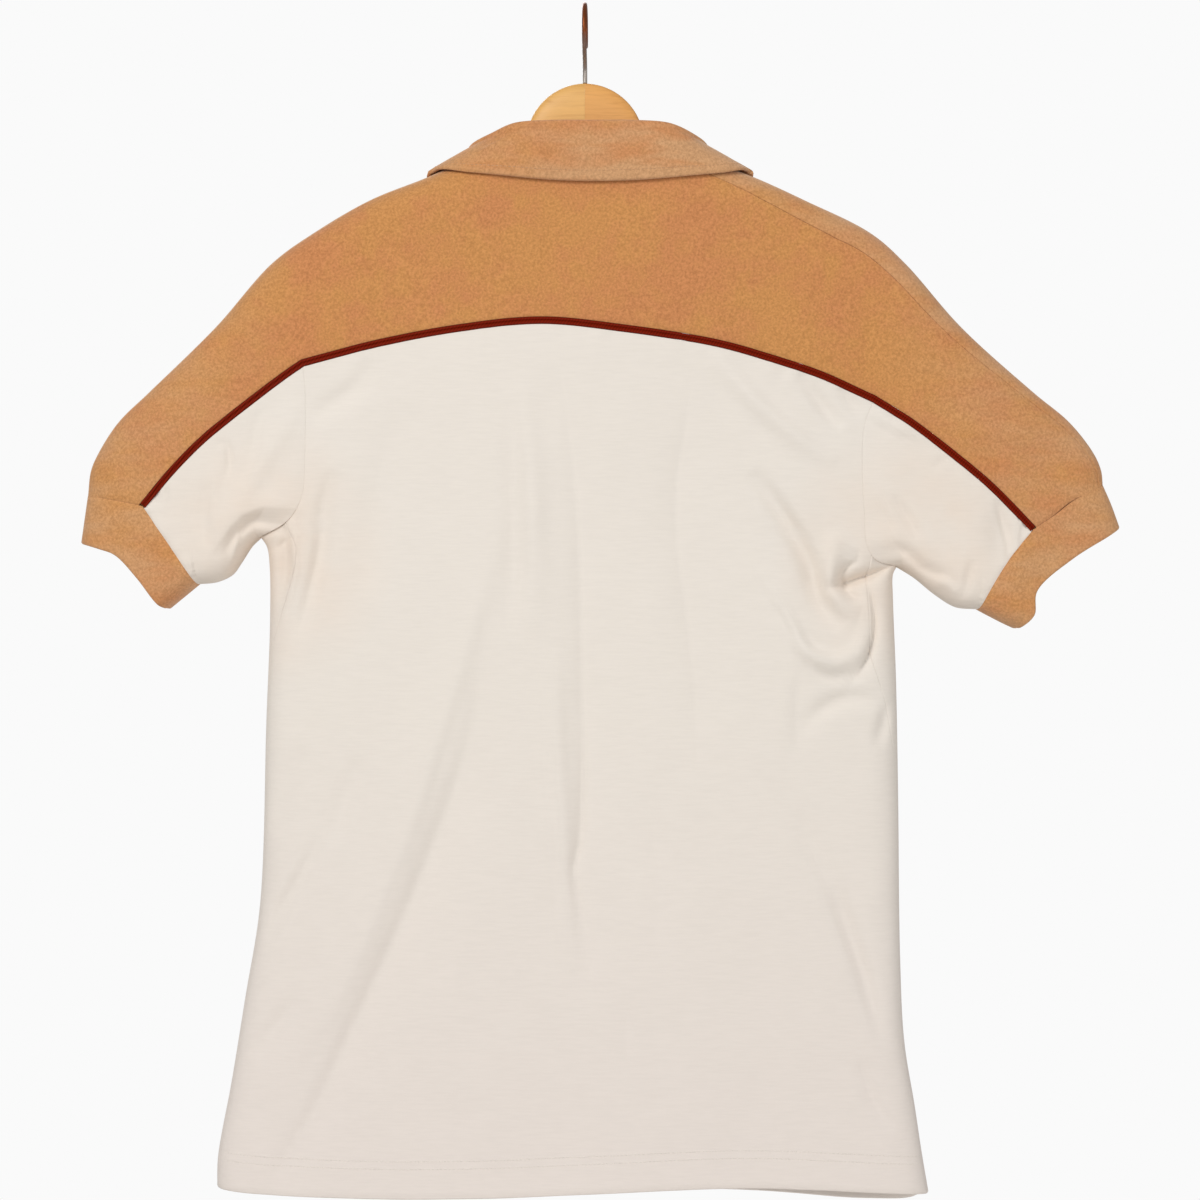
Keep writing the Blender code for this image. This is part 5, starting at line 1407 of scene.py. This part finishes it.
class SHIRT_OT_cuffs(ShirtOperator, bpy.types.Operator):
    """Terry cuffs: a ring round each sleeve end, from its seam to its edge"""

    bl_idname = "shirt.cuffs"
    bl_label = "Cuffs"

    def cuff(self, half):
        """One ring: straight lines from the seam to the edge, at stations shared with both."""
        seams, layers = [], []
        for layer in (BACK, FRONT):
            upper = along(cuff_seam(half, layer, "top")[::-1], crowded(YOKE_ROWS))[::-1]
            lower = along(cuff_seam(half, layer, "bottom"), crowded(ARMHOLE_STEPS))
            seams.append(np.vstack([upper, lower[1:]]))
            layers.append(np.full(len(seams[-1]), layer))
        ring = np.vstack([seams[0], seams[1][-2:0:-1]])
        layer = np.concatenate([layers[0], layers[1][-2:0:-1]])
        edge_line = smooth_line(SEAMS[half]["cuff_edge"])
        edges = []
        for seam in seams:
            reach = distances(seam)
            edges.append(along(edge_line, reach / reach[-1]))
        edge = np.vstack([edges[0], edges[1][-2:0:-1]])
        length = np.linalg.norm(edge - ring, axis=1)[:, None]
        start = ring + (edge - ring) * CLOSED_SEAM * CUFF_START / length
        grid = start + (edge - start) * even(CUFF_STEPS)[:, None, None]
        # The cuffs' terry is mixed paler, and carries the sleeves' painted sheen.
        piece = cloth_panel(f"terry_cuff_{half}", f"cuff_{half}", mirrored(grid, half), layer,
                            terry_material(self.colours, PALE), "terry", self.terry_mm, sleeve=True,
                            ring=True, sides=("first row", "last row"), cut=("last row",))

    def execute(self, context):
        for half in HALVES:
            self.cuff(half)
        return {"FINISHED"}


# Collar half, centre back to front end: the stand's foot on the neckline (x, z), the
# fold (x, y, z), the fall's edge (x, z), and the layer of cloth under both.
COLLAR_ROWS = (
    ((0, -111.2), (0, 32, -85), (0, -128.3), BACK),
    ((30, -110.8), (30, 31.5, -85), (33, -127.3), BACK),
    ((52, -109.2), (54, 28.5, -86.5), (62, -124.6), BACK),
    ((68, -107.0), (69, 18, -91.5), (88, -121.2), BACK),
    ((74, -103.3), (82.5, 0, -98.2), (117, -117.4), 0),
    ((70.0, -112.0), (77, -20, -105.5), (110, -138), FRONT),
    ((57.3, -129.8), (63, -32.5, -122.5), (93, -167), FRONT),
    ((36, -149.8), (41, -36, -140), (69, -197), FRONT),
    ((14, -160.4), (18, -35.5, -154.5), (48, -222), FRONT),
)
# How far the stand is sunk in the cloth, how far on X each line is shifted at the back, the
# collar's thickness, how high its edge lies over the yoke, the radius of its fold, how much
# the fall bulges, and the steps of each.
STAND_INSET = 1.0
COLLAR_SHIFT = (0.0, -5.0, -8.0)
COLLAR_THICKNESS = 2.6
COLLAR_LIFT = 3.9
COLLAR_ROLL = 3.4
COLLAR_BULGE = 1.2
STAND_STEPS, COLLAR_ROLL_STEPS, FALL_STEPS = 8, 14, 26
COLLAR_SECTION_STEPS = 10
NORMAL_PASSES = 3


def collar_line(column, fractions):
    """One of the collar's guide lines round the whole neck, right front to left front."""
    half = np.array([(*row[column], row[3]) for row in COLLAR_ROWS], float)
    other = half[:0:-1].copy()
    other[:, 0] *= -1
    line = smooth_line(np.vstack([other, half]))
    at = np.asarray(fractions) * (len(line) - 1)
    line = read_off(line, np.arange(len(line)), at)
    line[:, 0] += COLLAR_SHIFT[column] * (1 + line[:, -1]) / 2
    return line


def grid_normals(points, passes):
    """Unit normals of a grid from its own differences, evened out along its rows."""
    normals = np.cross(np.gradient(points, axis=0), np.gradient(points, axis=1))
    normals /= np.maximum(np.linalg.norm(normals, axis=2), TINY)[..., None]
    for _ in range(passes):
        padded = np.pad(normals, ((0, 0), (1, 1), (0, 0)), mode="edge")
        normals = unit(padded[:, :-2] + 2 * normals + padded[:, 2:])
    return normals


def collar_surface():
    """Points of the folded collar and their normals.

    Each section runs up the stand, over a fold of small radius and down the fall to an
    edge that lies on the yoke.
    """
    sections = 2 * (len(COLLAR_ROWS) - 1) * COLLAR_SECTION_STEPS
    fractions = even(sections)
    foot, fold, rim = (collar_line(k, fractions) for k in range(3))
    fold = fold[:, :3]
    layer = np.where(rim[:, 2] > 0, BACK, FRONT)
    stand, out = cloth(foot[:, :2], layer, sleeve=True)
    stand -= STAND_INSET * out
    edge = cloth(rim[:, :2], layer, lift=COLLAR_LIFT, sleeve=True)[0]
    tangent = unit(np.gradient(fold, axis=0))
    outward = unit(np.cross(tangent, [0, 0, 1.0]))
    outward *= np.sign((outward * (edge - stand)).sum(axis=1))[:, None]
    upward = np.cross(outward, tangent)
    upward *= np.sign(upward[:, 2])[:, None]
    centre = fold - COLLAR_ROLL * upward
    turned = [centre + COLLAR_ROLL * (math.cos(a) * outward + math.sin(a) * upward)
              for a in np.linspace(math.pi, 0, COLLAR_ROLL_STEPS + 1)]
    rows = [stand + (turned[0] - stand) * t for t in even(STAND_STEPS)[:-1]]
    rows += turned
    for t in even(FALL_STEPS)[1:]:
        bulge = COLLAR_BULGE * math.sin(math.pi * t) * outward
        rows.append(turned[-1] + (edge - turned[-1]) * t + bulge)
    points = np.array(rows)
    fall = points[-FALL_STEPS - 1:]
    sheet = np.where(fall[..., 1] >= middle(fall[..., 0]), BACK, FRONT)
    cover = cloth(fall[..., [0, 2]], sheet, lift=COLLAR_LIFT, sleeve=True)[0][..., 1]
    fall[..., 1] = sheet * np.maximum(sheet * fall[..., 1], sheet * cover)
    normals = grid_normals(points, NORMAL_PASSES * COLLAR_SECTION_STEPS)
    if (normals[-2] * outward).sum() < 0:
        normals = -normals
    return points, normals


class SHIRT_OT_collar(ShirtOperator, bpy.types.Operator):
    """Folded terry collar: stand, fold and fall, open at the front"""

    bl_idname = "shirt.collar"
    bl_label = "Collar"

    def execute(self, context):
        points, normals = collar_surface()
        points, quads = walled(points, normals, COLLAR_THICKNESS, grid_quads(*points.shape[:2]))
        # The collar's terry carries painted light, paler towards its right.
        piece = add_piece("terry_collar", points, quads,
                          terry_material(self.colours, PALE, PAINTED_LIGHT_RIGHT_SHARE), "collar", "terry")
        return {"FINISHED"}


# Placket and buttons.  A button's rim and back are profiles: how far out, how deep.  Its
# holes have a place, a radius, a depth and a soft edge.
PLACKET_HALF_WIDTH = 16.0
PLACKET_TOP, PLACKET_BOTTOM = -172.0, -322.0
PLACKET_COLUMNS, PLACKET_ROWS = 25, 101
BUTTON_HEIGHTS = (-192, -246, -300)
BUTTON_RADIUS = 5.7
BUTTON_TURNS, BUTTON_RINGS = 72, 26
BUTTON_RIM = ((0.0, 1.95), (3.3, 1.9), (4.1, 2.5), (4.9, 2.6), (5.45, 2.2), (5.7, 1.6))
BUTTON_BACK = ((5.7, 0.8), (5.3, 0.25), (4.6, 0.0))
BUTTON_HOLE_PLACE, BUTTON_HOLE_RADIUS, BUTTON_HOLE_DEPTH = 1.35, 0.62, 1.1
BUTTON_HOLE_EDGE = 0.09
# The thread between two holes: how far out it starts, its shoulders and its top stand beyond
# that, how far in the shoulders bend, its radius, its sides and its steps between points.
THREAD_FOOT, THREAD_SHOULDER, THREAD_TOP, THREAD_BEND = 1.3, 0.9, 1.25, 0.25
THREAD_RADIUS, THREAD_SIDES, THREAD_SPAN = 0.28, 8, 6


class SHIRT_OT_placket(ShirtOperator, bpy.types.Operator):
    """Button placket: a strip that lies on the front yoke and body"""

    bl_idname = "shirt.placket"
    bl_label = "Placket"

    def execute(self, context):
        x = np.linspace(-PLACKET_HALF_WIDTH, PLACKET_HALF_WIDTH, PLACKET_COLUMNS)
        z = np.linspace(PLACKET_BOTTOM, PLACKET_TOP, PLACKET_ROWS)
        grid = np.stack(np.meshgrid(x, z), axis=-1)
        points, normals = cloth(grid, FRONT, lift=self.terry_mm + SEAM_GAP)
        points, quads = walled(points, normals, self.terry_mm, grid_quads(*points.shape[:2]))
        piece = add_piece("terry_placket", points, quads, terry_material(self.colours), "placket",
                          "terry")
        return {"FINISHED"}


def button_points(face, height):
    """A round button seen from -Y: a height field over rings, with four holes sunk in it."""
    turns = ring_angles(BUTTON_TURNS)
    radii = BUTTON_RADIUS * np.linspace(1, 0, BUTTON_RINGS + 1)[:-1]
    x = radii[:, None] * np.cos(turns)
    z = radii[:, None] * np.sin(turns)
    depth = np.broadcast_to(table(BUTTON_RIM, radii)[:, None], x.shape).copy()
    for side_x in (-1, 1):
        for side_z in (-1, 1):
            away = np.hypot(x - side_x * BUTTON_HOLE_PLACE, z - side_z * BUTTON_HOLE_PLACE)
            rise = np.exp((away - BUTTON_HOLE_RADIUS) / BUTTON_HOLE_EDGE)
            depth -= BUTTON_HOLE_DEPTH / (1 + rise)
    front = np.stack([x, face - depth, height + z], axis=2)
    out, depth = np.array(BUTTON_BACK[::-1]).T[..., None]
    back = (out * np.cos(turns), face - depth, height + out * np.sin(turns))
    return np.concatenate([np.stack(np.broadcast_arrays(*back), axis=2), front])


class SHIRT_OT_buttons(ShirtOperator, bpy.types.Operator):
    """Three cast buttons with four holes, sewn down the placket"""

    bl_idname = "shirt.buttons"
    bl_label = "Buttons"

    def execute(self, context):
        finish = button_material(self.colours)
        thread = thread_material("tan", self.colours.terry_pale)
        for number, height in enumerate(BUTTON_HEIGHTS, 1):
            lift = self.terry_mm + 2 * SEAM_GAP
            face = cloth(np.array([[0.0, height]]), FRONT, lift=lift)[0][0, 1]
            points, faces = closed_tube(button_points(face, height))
            add_piece(f"cast_button_{number}", points, faces, finish, f"button_{number}", "button")
            strands = []
            for side in (-1, 1):
                start = np.array([side * BUTTON_HOLE_PLACE, face - THREAD_FOOT,
                                  height - BUTTON_HOLE_PLACE])
                end = start + [0, 0, 2 * BUTTON_HOLE_PLACE]
                top = 0.5 * (start + end) + [0, -THREAD_TOP, 0]
                path = [start, start + [0, -THREAD_SHOULDER, THREAD_BEND], top,
                        end + [0, -THREAD_SHOULDER, -THREAD_BEND], end]
                strands.append(tube(smooth_line(path, THREAD_SPAN), THREAD_RADIUS, THREAD_SIDES))
            add_piece(f"button_thread_{number}", *joined(strands), thread, slot="jersey")
        return {"FINISHED"}


# A direction that no thread runs in, from which its rings are turned.
TUBE_GUIDE = (0.31, 0.52, 0.79)


def tube(path, radius, sides):
    """A closed round tube along a path: points and faces.  Each ring is square to the path."""
    tangent = unit(np.gradient(path, axis=0))
    side = unit(np.cross(tangent, TUBE_GUIDE))
    other = np.cross(tangent, side)
    turns = ring_angles(sides)[:, None]
    around = np.cos(turns) * side[:, None] + np.sin(turns) * other[:, None]
    return closed_tube(path[:, None] + radius * around)


def joined(parts):
    """Several (points, faces) as one."""
    points, faces, start = [], [], 0
    for part_points, part_faces in parts:
        points.append(part_points)
        faces += [[v + start for v in face] for face in part_faces]
        start += len(part_points)
    return np.vstack(points), faces


# Piping: how short of the seam's ends it stops, how low it lies under the placket and how far
# out it rises again, and its section: one cord, the groove on the seam and the other cord, as
# offset, height.
PIPING_END_GAP = 0.5
PIPING_SUNK = 0.2
PIPING_RISE = 5.0
PIPING_CORD = ((-2.4, -0.9), (-2.45, -0.2), (-2.3, 0.35), (-1.95, 0.75), (-1.5, 0.95),
               (-1.05, 0.85), (-0.6, 0.5), (-0.25, 0.05))
PIPING_SECTION = (*PIPING_CORD, (0, -0.25),
                  *((-offset, height) for offset, height in PIPING_CORD[::-1]))


class SHIRT_OT_pipings(ShirtOperator, bpy.types.Operator):
    """Satin piping along the yoke seams: two cords side by side with a groove between"""

    bl_idname = "shirt.pipings"
    bl_label = "Pipings"

    def piping(self, name, node, line, layer):
        """One closed strip: the cords' section carried along the seam, proud of the cloth."""
        line = line.copy()
        for end, inner in ((0, 1), (-1, -2)):
            line[end] += unit(line[inner] - line[end]) * PIPING_END_GAP
        proud = np.ones(len(line))
        if layer == FRONT:
            proud = np.clip((np.abs(line[:, 0]) - PLACKET_HALF_WIDTH) / PIPING_RISE, PIPING_SUNK, 1)
        strips = []
        for offset, height in PIPING_SECTION:
            points, normals = cloth(shifted(line, offset), layer, sleeve=True)
            raised = height * proud if height > 0 else np.full(len(line), height)
            strips.append(points + raised[:, None] * normals)
        points, faces = closed_tube(np.array(strips).transpose(1, 0, 2))
        add_piece(name, points, faces, piping_material(self.colours), node, "piping")

    def execute(self, context):
        self.piping("satin_piping_back", "piping_back", back_piping_line(), BACK)
        for half in HALVES:
            self.piping(f"satin_piping_front_{half}", f"piping_front_{half}",
                        mirrored(front_piping_line(half), half), FRONT)
        return {"FINISHED"}


# Hanger: its round head, its tip, its distance under the shoulders, how far the head's middle
# stands out, its lower edge and half thickness by place, the top between head and arm, the
# head's sweep, its steps, and how its end rounds off: how short of the tip, and what size.
HANGER_HEAD_RADIUS = 42.0
HANGER_HEAD_CENTRE = -97.0
HANGER_TIP = 203.0
HANGER_CLEARANCE = 3.6
HANGER_RIDGE = 3.0
HANGER_BOTTOM = ((0, -140), (40, -142), (100, -154), (160, -176), (205, -197))
HANGER_HALF_THICKNESS = ((0, 7.5), (60, 7.0), (85, 7.5), (160, 13), (205, 14.5))
HANGER_NECK_TOP = ((43, -98.5), (60, -106), (78, -113.5))
HANGER_HEAD_SWEEP = math.radians(84)
HANGER_HEAD_STEPS, HANGER_ARM_STEPS = 44, 60
HANGER_ARM_START = 43.0
HANGER_END_SIZES = ((4.0, 1.0), (2.6, 0.96), (1.4, 0.87), (0.5, 0.72), (0.0, 0.5))
HANGER_SIDES = 48
HANGER_SQUARENESS = 0.75
# The second station, this near to the first, keeps the joint between the halves sharp.
EDGE_TIGHT = 0.06


class SHIRT_OT_hanger(ShirtOperator, bpy.types.Operator):
    """Contoured wooden hanger in two halves that meet on the centre line"""

    bl_idname = "shirt.hanger"
    bl_label = "Hanger"

    def hanger_half(self, half):
        """A half-round head that runs into an arm: squared ovals carried along the arm."""
        head = HANGER_HEAD_RADIUS * np.sin(np.linspace(0, HANGER_HEAD_SWEEP, HANGER_HEAD_STEPS + 1))
        ends = [HANGER_TIP - short for short, _ in HANGER_END_SIZES]
        arm = np.linspace(HANGER_ARM_START, ends[0], HANGER_ARM_STEPS + 1)
        x = np.concatenate([[CENTRE_GAP, CENTRE_GAP + EDGE_TIGHT], head[1:], arm, ends[1:]])
        under = shifted(smooth_line(OUTLINE[half]["shoulder"]), -HANGER_CLEARANCE)
        over = np.interp(x, under[:, 0], under[:, 1])
        over = np.where(x < HANGER_NECK_TOP[-1][0], table(HANGER_NECK_TOP, x), over)
        round_head = HANGER_HEAD_CENTRE + np.sqrt(np.maximum(HANGER_HEAD_RADIUS ** 2 - x ** 2, 0))
        top = np.where(x < HANGER_HEAD_RADIUS, round_head, over)
        bottom = table(HANGER_BOTTOM, x)
        size = np.ones(len(x))
        size[-len(ends):] = [share for _, share in HANGER_END_SIZES]
        centre = 0.5 * (top + bottom)
        tall = 0.5 * (top - bottom) * size
        thick = table(HANGER_HALF_THICKNESS, x) * size
        turns = ring_angles(HANGER_SIDES)
        squared = [np.sign(f) * np.abs(f) ** HANGER_SQUARENESS
                   for f in (np.cos(turns), np.sin(turns))]
        ridge = HANGER_RIDGE * np.clip(1 - x / HANGER_HEAD_RADIUS, 0, 1)
        y = (middle(x) + ridge)[:, None] + thick[:, None] * squared[0]
        z = centre[:, None] + tall[:, None] * squared[1]
        rings = mirrored(np.stack([np.broadcast_to(x[:, None], y.shape), y, z], axis=2), half)
        points, faces = closed_tube(rings)
        add_piece(f"wooden_hanger_{half}", points, faces, wood_material(self.colours, half),
                  f"hanger_{half}", "wood")

    def execute(self, context):
        for half in HALVES:
            self.hanger_half(half)
        return {"FINISHED"}


# Hook: a wire bent in the Y-Z plane and turned a little about Z.  Its stem's points are y, z;
# its end rounds off by how far beyond the last point, and what share of the radius.
WIRE_RADIUS = 1.6
HOOK_RADIUS = 19.0
HOOK_TURN = math.radians(-1.5)
HOOK_BEND = ((0, -54.6), (0, -49), (0.6, -44.5), (4.2, -39.2), (9.6, -34.4))
HOOK_ARC = np.radians((-40, 205))
HOOK_STEPS = 90
WIRE_SIDES = 20
WIRE_END = ((0.0, 1.0), (0.5, 0.95), (0.95, 0.8), (1.3, 0.5), (1.45, 0.12))


class SHIRT_OT_hook(ShirtOperator, bpy.types.Operator):
    """Wire hook: a stem that bends out into a round hook whose top is over the stem"""

    bl_idname = "shirt.hook"
    bl_label = "Hook"

    def execute(self, context):
        centre = WIRE_RADIUS - HOOK_RADIUS
        around = np.linspace(*HOOK_ARC, HOOK_STEPS)
        arc = HOOK_RADIUS * np.stack([np.cos(around), np.sin(around)], axis=1) + [0, centre]
        stem = smooth_line(np.vstack([HOOK_BEND, arc[:1]]), 8)
        path = np.vstack([stem[:-1], arc])
        tail = unit(path[-1] - path[-2])
        out = np.concatenate([np.zeros(len(path)), [reach for reach, _ in WIRE_END[1:]]])
        path = np.vstack([path, np.repeat(path[-1:], len(WIRE_END) - 1, axis=0)])
        path += out[:, None] * tail
        radius = np.full(len(path), WIRE_RADIUS)
        radius[-len(WIRE_END):] = [WIRE_RADIUS * share for _, share in WIRE_END]
        tangent = unit(np.gradient(path, axis=0))
        tangent[0] = (0, 1)
        turns = ring_angles(WIRE_SIDES)
        side = np.stack([-tangent[:, 1], tangent[:, 0]], axis=1)
        y = path[:, :1] + radius[:, None] * side[:, :1] * np.cos(turns)
        z = path[:, 1:] + radius[:, None] * side[:, 1:] * np.cos(turns)
        x = radius[:, None] * np.sin(turns)
        c, s = math.cos(HOOK_TURN), math.sin(HOOK_TURN)
        points, faces = closed_tube(np.stack([c * x - s * y, s * x + c * y, z], axis=2))
        add_piece("wire_hook", points, faces, wire_material(self.colours), "hanger_hook", "wire")
        return {"FINISHED"}


# Stitches: a spindle's sides, how far along and how thick each of its rings is, its radius,
# and how much of the pitch it takes up.
STITCH_SIDES = 6
STITCH_SHAPE = ((0.12, 0.75), (0.5, 1.0), (0.88, 0.75))
STITCH_RADIUS = 0.3
STITCH_SHARE = 0.72
# Where rows run: the share of the hem, grid rows in from the collar's edge, mm in from the
# placket's sides and ends, and up from its lower edge.
HEM_SPAN = np.linspace(0.012, 0.988, 260)
COLLAR_STITCH_ROW = 5
PLACKET_STITCH_INSET, PLACKET_STITCH_END = 2.2, 2.0
PLACKET_CROSS_ROWS = (PLACKET_STITCH_INSET, 14.0)
PLACKET_SIDE_POINTS, PLACKET_CROSS_POINTS = 120, 30


def stitch_row(points, normals, pitch):
    """A row of stitches along a line of points: each a small spindle laid along the line."""
    reach = distances(points)
    count = int(reach[-1] / pitch)
    starts = np.arange(count) * reach[-1] / count
    ends = starts + pitch * STITCH_SHARE
    a, b = read_off(points, reach, starts), read_off(points, reach, ends)
    up = unit(read_off(normals, reach, 0.5 * (starts + ends)))
    side = unit(np.cross(b - a, up))
    turns = ring_angles(STITCH_SIDES)[:, None]
    shares, sizes = np.array(STITCH_SHAPE).T[..., None, None]
    rings = (a[:, None, None] + (b - a)[:, None, None] * shares + STITCH_RADIUS * sizes
             * (np.cos(turns) * side[:, None, None] + np.sin(turns) * up[:, None, None]))
    rings = rings.reshape(count, -1, 3)
    each = np.concatenate([rings, a[:, None], b[:, None]], axis=1)
    rows, n = len(shares), STITCH_SIDES
    quads = grid_quads(rows, n, ring=True).tolist()
    last = (rows - 1) * n
    tips = [[(k + 1) % n, k, rows * n] for k in range(n)]
    tips += [[last + k, last + (k + 1) % n, rows * n + 1] for k in range(n)]
    return each, quads + tips


class SHIRT_OT_stitching(ShirtOperator, bpy.types.Operator):
    """Rows of stitches: hems, cuffs, collar edge and placket"""

    bl_idname = "shirt.stitching"
    bl_label = "Stitching"

    def rows_piece(self, name, rows, finish, slot):
        """Many rows of stitches as one mesh."""
        pitch = self.sizes.stitch / MM
        parts = []
        for points, normals in rows:
            each, faces = stitch_row(points, normals, pitch)
            shift = np.arange(len(each)) * each.shape[1]
            parts.append((each.reshape(-1, 3),
                          [[v + s for v in face] for s in shift.tolist() for face in faces]))
        add_piece(name, *joined(parts), finish, slot=slot)

    def execute(self, context):
        cream = thread_material("cream", self.colours.jersey)
        tan = thread_material("tan", self.colours.terry_pale)
        hems = []
        for layer, hem in ((BACK, BACK_HEM), (FRONT, FRONT_HEM)):
            line = along(smooth_line(hem), HEM_SPAN)
            hems += [cloth(line + [0, up], layer) for up in HEM_ROWS]
        self.rows_piece("hem_stitches", hems, cream, "jersey")
        points, normals = collar_surface()
        row = points[-1 - COLLAR_STITCH_ROW, 2:-2], normals[-1 - COLLAR_STITCH_ROW, 2:-2]
        self.rows_piece("collar_stitches", [row], tan, "terry")
        side = PLACKET_HALF_WIDTH - PLACKET_STITCH_INSET
        z = np.linspace(PLACKET_TOP - PLACKET_STITCH_END, PLACKET_BOTTOM + PLACKET_STITCH_END,
                        PLACKET_SIDE_POINTS)
        lines = [np.stack([np.full(len(z), x), z], axis=1) for x in (-side, side)]
        x = np.linspace(-side, side, PLACKET_CROSS_POINTS)
        lines += [np.stack([x, np.full(len(x), PLACKET_BOTTOM + up)], axis=1)
                  for up in PLACKET_CROSS_ROWS]
        strips = [cloth(line, FRONT, lift=self.terry_mm + SEAM_GAP) for line in lines]
        self.rows_piece("placket_stitches", strips, tan, "terry")
        return {"FINISHED"}


# Studio: where the camera stands, its lens, the floor, what the lights face, and the
# strength of the surroundings.
CAMERA_PLACE = (-0.0107, 2.38, -0.4233)
CAMERA_LENS = 100.0
FLOOR_HEIGHT = -1.35
FLOOR_RADIUS, FLOOR_SIDES = 1.0, 96
LIGHT_TARGET = (0, 0, -0.42)
AMBIENT = 0.385
LIGHTS = (
    # name, place, size, watts
    ("key", (1.65, 2.45, 1.3), 1.3, 55.0),
    ("fill", (-0.5, 3.1, 0.2), 2.6, 24.0),
    ("side", (-2.4, 1.5, -0.2), 1.2, 12.0),
    ("front", (0.6, -2.6, 0.8), 2.0, 58.0),
)


class SHIRT_OT_studio(ShirtOperator, bpy.types.Operator):
    """Plain pale floor, soft studio lights, pale surroundings and the camera"""

    bl_idname = "shirt.studio"
    bl_label = "Studio"

    def execute(self, context):
        turns = ring_angles(FLOOR_SIDES)
        disc = np.stack([FLOOR_RADIUS * np.cos(turns), FLOOR_RADIUS * np.sin(turns),
                         np.full(len(turns), FLOOR_HEIGHT)], axis=1)
        mesh = bpy.data.meshes.new("studio_floor")
        mesh.from_pydata(disc.tolist(), [], [list(range(len(disc)))])
        mesh.materials.append(floor_material(self.colours))
        floor = add_object("studio_floor", mesh)
        self.world(context.scene)
        self.lights()
        self.camera(context.scene)
        context.scene.view_settings.view_transform = "Standard"
        return {"FINISHED"}

    def world(self, scene):
        """Pale surroundings: dimmer as light than as the ground behind the shirt."""
        world = bpy.data.worlds.new("studio")
        world.use_nodes = True
        tree = world.node_tree
        shade = tree.nodes["Background"]
        shade.inputs["Color"].default_value = (1, 1, 1, 1)
        shade.inputs["Strength"].default_value = AMBIENT
        seen = add_node(tree, "Background", {"Color": (*linear(COLOUR_HEX["backdrop"]), 1),
                                             "Strength": 1.0})
        path = add_node(tree, "LightPath")
        mix = add_node(tree, "MixShader", i0=path.outputs["Is Camera Ray"], i1=shade, i2=seen)
        linked(tree.nodes["World Output"], Surface=mix)
        scene.world = world

    def lights(self):
        """Square soft boxes that face the middle of the shirt."""
        for name, place, size, watts in LIGHTS:
            data = bpy.data.lights.new(name, "AREA")
            data.energy = watts
            data.size = size
            light = add_object(name, data)
            light.location = place
            away = np.subtract(place, LIGHT_TARGET)
            light.rotation_euler = (math.atan2(math.hypot(*away[:2]), away[2]), 0,
                                    math.atan2(away[0], -away[1]))

    def camera(self, scene):
        """A long lens, level, straight at the back of the shirt."""
        data = bpy.data.cameras.new("camera")
        data.lens = CAMERA_LENS
        camera = add_object("camera", data)
        camera.location = CAMERA_PLACE
        camera.rotation_euler = (math.pi / 2, 0, math.pi)
        scene.camera = camera


class SHIRT_PT_panel(bpy.types.Panel):
    """The shirt's colours, sizes and pieces, in the 3D view's sidebar"""

    bl_label = "Polo shirt"
    bl_idname = "SHIRT_PT_panel"
    bl_space_type = "VIEW_3D"
    bl_region_type = "UI"
    bl_category = "Polo shirt"

    def draw(self, context):
        for group in (context.scene.shirt_colours, context.scene.shirt_sizes):
            box = self.layout.box()
            for name in group.__annotations__:
                box.prop(group, name)
        for operator in OPERATORS:
            self.layout.operator(operator.bl_idname)


OPERATORS = (SHIRT_OT_back_yoke, SHIRT_OT_front_yokes, SHIRT_OT_under_sleeves,
             SHIRT_OT_back_body, SHIRT_OT_front_body, SHIRT_OT_cuffs, SHIRT_OT_collar,
             SHIRT_OT_placket, SHIRT_OT_buttons, SHIRT_OT_pipings, SHIRT_OT_hanger, SHIRT_OT_hook,
             SHIRT_OT_stitching, SHIRT_OT_studio)
CLASSES = (ShirtColours, ShirtSizes, *OPERATORS, SHIRT_PT_panel)


def register():
    """Add the classes and the scene's settings."""
    for item in CLASSES:
        bpy.utils.register_class(item)
    bpy.types.Scene.shirt_colours = bpy.props.PointerProperty(type=ShirtColours)
    bpy.types.Scene.shirt_sizes = bpy.props.PointerProperty(type=ShirtSizes)


def unregister():
    """Take them away again."""
    del bpy.types.Scene.shirt_sizes
    del bpy.types.Scene.shirt_colours
    for item in reversed(CLASSES):
        bpy.utils.unregister_class(item)


def main():
    """Make every piece, then the studio."""
    register()
    for operator in OPERATORS:
        group, name = operator.bl_idname.split(".")
        getattr(getattr(bpy.ops, group), name)()


if __name__ == "__main__":
    main()
